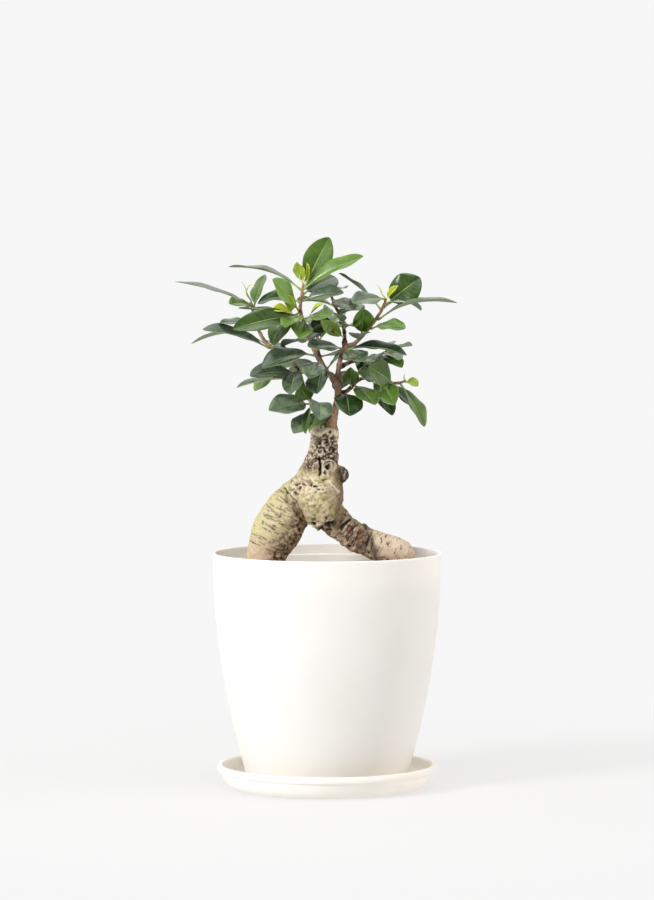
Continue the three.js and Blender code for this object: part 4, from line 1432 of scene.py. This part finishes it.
YOUNG_LEAVES = [
    [("branch_upper_middle", 0.08), (-4.5, -16, 338), 9, (-0.4, -0.85, 0.3), 0.06, 0.1, 0.35],
    [("branch_upper_left", 0.99), (-21.5, -8, 379.5), 10, (-0.5, -0.85, 0.1), -0.25, 0.45, 0.5],
    [("branch_upper_left", 0.98), (-14.6, -9, 379), 5, (0.5, -0.8, 0.1), 0.2, 0.9, 0.9],
    [(-25.5, -14, 342.5), (-31.5, -18, 356), 10, (0.5, -0.85, 0.1), 0.12, 0.95, 0.7],
    [(-25.5, -14, 342.5), (-39.5, -18, 345.5), 9, (0.1, -0.7, 0.7), 0.15, 0.9, 0.6],
    [(-12, -12, 342), (-2.5, -24, 350), 5, (-0.4, -0.6, 0.7), 0.1, 0.9, 0.6],
    [("branch_upper_right", 0.99), (51, -12, 362.5), 5.5, (-0.5, -0.8, 0.3), 0.12, 1.0, 0.7],
    [("branch_lower_right", 0.99), (65.5, -4, 290), 8.5, (0.2, -0.75, 0.7), 0.3, 0.35, 0.4],
    [("branch_middle_right", 0.99), (44, 6, 313), 5, (0, -0.8, 0.6), 0.2, 0.8, 0.5],
]
# Thin stipules at the shoot tips: the points each one follows, in millimetres.
STIPULES = [
    [(-54.5, 3, 351), (-58, -6, 358), (-59.3, -8, 362.5), (-62.3, -9, 366)],
    [(-54.5, 3, 351), (-57.6, -7, 359.5), (-55, -8, 363.2), (-51.4, -9, 361)],
    [(42.5, -5, 353), (39.5, -6, 356.5), (38.2, -7, 360), (35.8, -8, 363.6)],
    [(57, 1, 293.6), (55.4, -1, 296), (56, -2, 299)],
    [(-17, -4, 364), (-19.5, -5, 368), (-18.8, -6, 372)],
]
STIPULE_RADIUS = 0.55 * MM
# Reddish bud scales: middle and radius, in millimetres.
BUD_SCALES = [
    (4.8, -8.5, 329.3, 1.0), (-19.2, -9.6, 344.2, 1.1), (-15.4, -9.8, 334, 0.9), (13.2, -2.4, 320.5, 1.0),
]


def grown_leaf(row, seed, settings, stems):
    """The skin of one leaf from its row. A foot on a stem stands on the twig's skin, on the tip's side."""
    base, tip, width, facing, arch, tone, fold = row
    tip = np.array(tip) * MM
    if isinstance(base[0], str):
        stem = stems[base[0]]
        here = smooth_path(stem, [base[1] - 0.01, base[1]])
        axis = unit(here[1, :3] - here[0, :3])
        reach = tip - here[1, :3]
        outwards = unit(reach - (reach @ axis) * axis)
        foot = here[1, :3] + outwards * here[1, 3]
    else:
        foot = np.array(base) * MM
    middles, ups = bent_line(foot, tip, unit(np.array(facing, float)), arch)
    return leaf_skin(middles, ups, width / 2 * MM, fold, tone, seed, settings)


def mid_blade(rows, columns):
    """Blade values of a plain skin, which is coloured as the middle of a leaf's upper face."""
    return np.broadcast_to([0.0, 0.5, 0.0], (rows, columns, 3))


def tapering_tube(points, radius, tone):
    """A thin tube through points. At a share s of its length its radius is 1 - 0.85 s^3 of the widest."""
    rings = 24
    sides = 10
    rows = np.hstack([np.array(points, float) * MM, np.zeros((len(points), 1))])
    share = np.linspace(0, 1, rings)
    line = smooth_path(rows, share)[:, :3]
    width = radius * (1 - 0.85 * share**3)
    grid = line[:, None] + round_directions(line, sides) * width[:, None, None]
    return Skin.over(grid, blade=mid_blade(rings, sides), tone=np.full(rings * sides, tone))


def bud_scale(middle, radius, seed):
    """A small pointed bud that leans forwards. At a share s of its height its rings have a radius of
    sin(pi s^0.7) of the widest, with three low lobes round it."""
    rings = 16
    sides = 14
    x, y, z = np.array(middle) * MM
    share = np.linspace(0.02, 0.98, rings)[:, None]
    angle = turn_angles(sides)
    width = radius * MM * np.sin(np.pi * share**0.7) * (1 + 0.12 * np.sin(3 * angle + seed))
    rise = (share - 0.4) * radius * MM * 3.2
    grid = np.stack([
        x + width * np.cos(angle), y + width * np.sin(angle) - 0.5 * rise, z + rise + 0 * angle,
    ], axis=-1)
    tone = np.broadcast_to(share, (rings, sides)).ravel()
    return Skin.over(grid, blade=mid_blade(rings, sides), tone=tone)


class BONSAI_OT_leaves(bpy.types.Operator):
    """Make each leaf along its CAD node's rib, with a folded, waving, thin blade on a round stalk"""

    bl_idname = "bonsai.leaves"
    bl_label = "Leaves"

    def execute(self, context):
        settings = context.scene.bonsai_leaves
        nodes = sorted(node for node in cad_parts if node.startswith("leaf_"))
        if not nodes:
            raise RuntimeError("the frame has no leaf nodes")
        for seed, node in enumerate(nodes):
            middles, ups, half_width, fold = cad_leaf(node)
            half_width *= SLIM_LEAVES.get(node, 1)
            tone = LEAF_TONES.get(node, 0.12 + 0.36 * (seed * 0.618 % 1))
            skin = leaf_skin(middles, ups, half_width, fold, tone, seed + 100, settings)
            make_piece(node.replace("leaf", "blade"), skin, materials["leaf"], "leaf", node)
        return {"FINISHED"}


class BONSAI_OT_inner_leaves(bpy.types.Operator):
    """Make the leaves that grow between the larger ones"""

    bl_idname = "bonsai.inner_leaves"
    bl_label = "Inner Leaves"

    def execute(self, context):
        settings = context.scene.bonsai_leaves
        stems = {name: cad_stem(name) for name in STEMS}
        skins = [grown_leaf(row, 200 + k, settings, stems) for k, row in enumerate(INNER_LEAVES)]
        make_piece("inner_leaves", Skin.joined(skins), materials["leaf"], "leaf")
        return {"FINISHED"}


class BONSAI_OT_shoot_tips(bpy.types.Operator):
    """Make the folded young leaves, the thin stipules and the reddish bud scales of the shoot tips"""

    bl_idname = "bonsai.shoot_tips"
    bl_label = "Shoot Tips"

    def execute(self, context):
        settings = context.scene.bonsai_leaves
        stems = {name: cad_stem(name) for name in STEMS}
        skins = [grown_leaf(row, 300 + k, settings, stems) for k, row in enumerate(YOUNG_LEAVES)]
        skins += [tapering_tube(points, STIPULE_RADIUS, 0.8) for points in STIPULES]
        make_piece("young_leaves", Skin.joined(skins), materials["young"], "leaf")
        buds = [bud_scale(row[:3], row[3], k) for k, row in enumerate(BUD_SCALES)]
        make_piece("bud_scales", Skin.joined(buds), materials["bud"], "leaf")
        return {"FINISHED"}


# ---------- materials ----------
materials = {}


class BONSAI_OT_finishes(bpy.types.Operator):
    """Make the node groups and the materials of the plastic, soil, bark and leaves"""

    bl_idname = "bonsai.finishes"
    bl_label = "Finishes"

    def execute(self, context):
        scene = context.scene
        pot = scene.bonsai_pot
        soil = scene.bonsai_soil
        roots = scene.bonsai_roots
        twigs = scene.bonsai_twigs
        leaves = scene.bonsai_leaves
        plastic = moulded_plastic_group()
        crumbly = crumbly_group()
        bark = bark_group()
        blade = leaf_group()
        net_color = linear(42, 42, 41)
        materials["plastic"] = plastic_surface("White Plastic", plastic, pot.color, pot.shade, pot.roughness)
        materials["net"] = plastic_surface("Net Plastic", plastic, net_color, linear(56, 56, 54), 0.55)
        materials["pumice"] = crumbly_surface("Pumice", crumbly, linear(150, 140, 122), soil.pumice, 1100)
        materials["soil"] = crumbly_surface("Potting Mix", crumbly, soil.dark, soil.light, 520)
        materials["crumbs"] = crumbly_surface("Clay Crumbs", crumbly, soil.dark, soil.light, 900)


        def root_color(wiring):
            return wiring.attribute("bark_color"), wiring.attribute("dashes", "Fac")

        def twig_color(wiring):
            tan = wiring.attribute("tan", "Fac")
            color = wiring.blend(wiring.span(tan, 0, 0.5), twigs.dark, twigs.grey)
            return wiring.blend(wiring.span(tan, 0.5, 1), color, twigs.tan), 0.6

        materials["roots"] = bark_surface("Root Bark", bark, root_color, roots.dark, 0.6 * MM)
        materials["twig"] = bark_surface("Twig Bark", bark, twig_color, twigs.dark, 0.4 * MM)
        materials["leaf"] = leaf_surface("Leaf", blade, leaves.dark, leaves.fresh, leaves.under, leaves.rib)
        materials["young"] = leaf_surface(
            "Young Leaf", blade, leaves.fresh, leaves.young, leaves.young, linear(214, 216, 120)
        )
        bud_red = linear(120, 40, 34)
        materials["bud"] = leaf_surface(
            "Bud Scale", blade, bud_red, linear(176, 84, 66), bud_red, linear(150, 80, 50)
        )
        return {"FINISHED"}


# ---------- stage ----------
# The floor is a thin disc just under the saucer. Its rings start at a tiny radius and are closed by fans.
FLOOR_REACH = 30.0
FLOOR_HOLE = 0.01
FLOOR_TOP = -0.4 * MM
FLOOR_BOTTOM = -20 * MM
FLOOR_STEPS = 96
SENSOR_WIDTH = 36
FARTHEST_SEEN = 100
# Each light's name, place, target, side length and colour. Its power is the stage setting of its name.
LIGHTS = (
    ("Key", (-2.05, -1.8, 1.35), (0, 0, 0.15), 0.8, (1.0, 1.0, 1.0)),
    ("Top", (0.1, -0.5, 2.3), (0, 0, 0.2), 1.3, (1.0, 1.0, 1.0)),
    ("Fill", (2.2, -0.5, 0.7), (0, 0, 0.15), 1.8, (1.0, 0.93, 0.87)),
)


def area_light(name, place, target, size, power, color):
    """A square area light at a place, turned towards a target."""
    light = bpy.data.lights.new(name, "AREA")
    light.shape = "SQUARE"
    light.size = size
    light.energy = power
    light.color = color
    thing = new_object(name, light)
    thing.location = place
    aim = np.array(target) - np.array(place)
    level = math.hypot(aim[0], aim[1])
    thing.rotation_euler = (math.atan2(level, -aim[2]), 0, math.atan2(-aim[0], aim[1]))


def floor_material(stage):
    """Pale matt floor that fades, with distance from the pot, into the even colour of the backdrop."""
    material = bpy.data.materials.new("Studio Floor")
    material.use_nodes = True
    tree = material.node_tree
    tree.nodes.clear()
    wiring = Wiring(tree)
    away = wiring.add("VectorMath", {0: wiring.object_place()}, operation="LENGTH").outputs["Value"]
    matt = wiring.add("BsdfDiffuse", {"Color": stage.floor}).outputs[0]
    glow = wiring.add("Emission", {"Color": stage.backdrop}).outputs[0]
    even = wiring.span(away, 0.16, 0.6, stage.glow, 1.0)
    mixed = wiring.add("MixShader", {0: even, 1: matt, 2: glow}).outputs[0]
    wiring.add("OutputMaterial", {"Surface": mixed})
    return material


class BONSAI_OT_stage(bpy.types.Operator):
    """Make the floor, the soft studio light, the even backdrop and the camera"""

    bl_idname = "bonsai.stage"
    bl_label = "Stage"

    def execute(self, context):
        scene = context.scene
        stage = scene.bonsai_stage
        profile = np.array([
            [FLOOR_HOLE, FLOOR_BOTTOM], [FLOOR_REACH, FLOOR_BOTTOM], [FLOOR_REACH, FLOOR_TOP],
            [FLOOR_REACH / 10, FLOOR_TOP], [FLOOR_HOLE, FLOOR_TOP],
        ])
        floor = skin_object("studio_floor", Skin.over(turned(profile, FLOOR_STEPS)))
        floor.data.materials.append(floor_material(stage))
        for name, place, target, size, color in LIGHTS:
            area_light(name, place, target, size, getattr(stage, name.lower()), color)
        world = bpy.data.worlds.new("Studio")
        scene.world = world
        world.use_nodes = True
        world.node_tree.nodes.clear()
        wiring = Wiring(world.node_tree)
        seen = wiring.add("Background", {"Color": stage.backdrop, "Strength": 1.0}).outputs[0]
        heading = wiring.add("SeparateXYZ", {0: wiring.object_place()}).outputs
        above = wiring.span(heading[2], -0.05, 0.85, 0.55, 1.6)
        behind = wiring.span(heading[1], -0.9, 0.4, 0.3, 1.1)
        ray = wiring.add("LightPath").outputs
        strength = wiring.math("MULTIPLY", wiring.math("MULTIPLY", above, behind), stage.surround)
        mirrored = wiring.math("MULTIPLY_ADD", ray["Is Glossy Ray"], stage.sheen, 1)
        strength = wiring.math("MULTIPLY", strength, mirrored)
        lit = wiring.add("Background", {"Color": (1, 1, 1), "Strength": strength}).outputs[0]
        mixed = wiring.add("MixShader", {0: ray["Is Camera Ray"], 1: lit, 2: seen}).outputs[0]
        wiring.add("OutputWorld", {"Surface": mixed})
        scene.view_settings.view_transform = "Standard"
        lens = bpy.data.cameras.new("Camera")
        lens.sensor_width = SENSOR_WIDTH
        lens.lens = stage.lens
        lens.clip_end = FARTHEST_SEEN
        camera = new_object("Camera", lens)
        camera.location = (0, -stage.distance, stage.height)
        camera.rotation_euler = (math.pi / 2 - stage.tilt, 0, 0)
        scene.camera = camera
        return {"FINISHED"}


# ---------- panel and registration ----------
class BONSAI_PT_panel(bpy.types.Panel):
    """The bonsai's settings and the buttons that make its pieces"""

    bl_idname = "BONSAI_PT_panel"
    bl_label = "Ficus Bonsai"
    bl_space_type = "VIEW_3D"
    bl_region_type = "UI"
    bl_category = "Bonsai"

    def draw(self, context):
        for name, kind in SETTINGS.items():
            box = self.layout.box()
            settings = getattr(context.scene, name)
            for key in kind.__annotations__:
                box.prop(settings, key)
        for operator in OPERATORS:
            self.layout.operator(operator.bl_idname)


SETTINGS = {
    "bonsai_pot": PotSettings,
    "bonsai_soil": SoilSettings,
    "bonsai_roots": RootSettings,
    "bonsai_twigs": TwigSettings,
    "bonsai_leaves": LeafSettings,
    "bonsai_stage": StageSettings,
}
OPERATORS = (
    BONSAI_OT_finishes, BONSAI_OT_pot, BONSAI_OT_saucer, BONSAI_OT_fillings, BONSAI_OT_soil, BONSAI_OT_roots,
    BONSAI_OT_stems, BONSAI_OT_leaves, BONSAI_OT_inner_leaves, BONSAI_OT_shoot_tips, BONSAI_OT_stage,
)


def register():
    for kind in (*SETTINGS.values(), *OPERATORS, BONSAI_PT_panel):
        bpy.utils.register_class(kind)
    for name, kind in SETTINGS.items():
        setattr(bpy.types.Scene, name, bpy.props.PointerProperty(type=kind))


def unregister():
    for name in SETTINGS:
        delattr(bpy.types.Scene, name)
    for kind in reversed((*SETTINGS.values(), *OPERATORS, BONSAI_PT_panel)):
        bpy.utils.unregister_class(kind)


def main():
    register()
    bpy.ops.bonsai.finishes()
    bpy.ops.bonsai.pot()
    bpy.ops.bonsai.saucer()
    bpy.ops.bonsai.fillings()
    bpy.ops.bonsai.soil()
    bpy.ops.bonsai.roots()
    bpy.ops.bonsai.stems()
    bpy.ops.bonsai.leaves()
    bpy.ops.bonsai.inner_leaves()
    bpy.ops.bonsai.shoot_tips()
    bpy.ops.bonsai.stage()


if __name__ == "__main__":
    main()
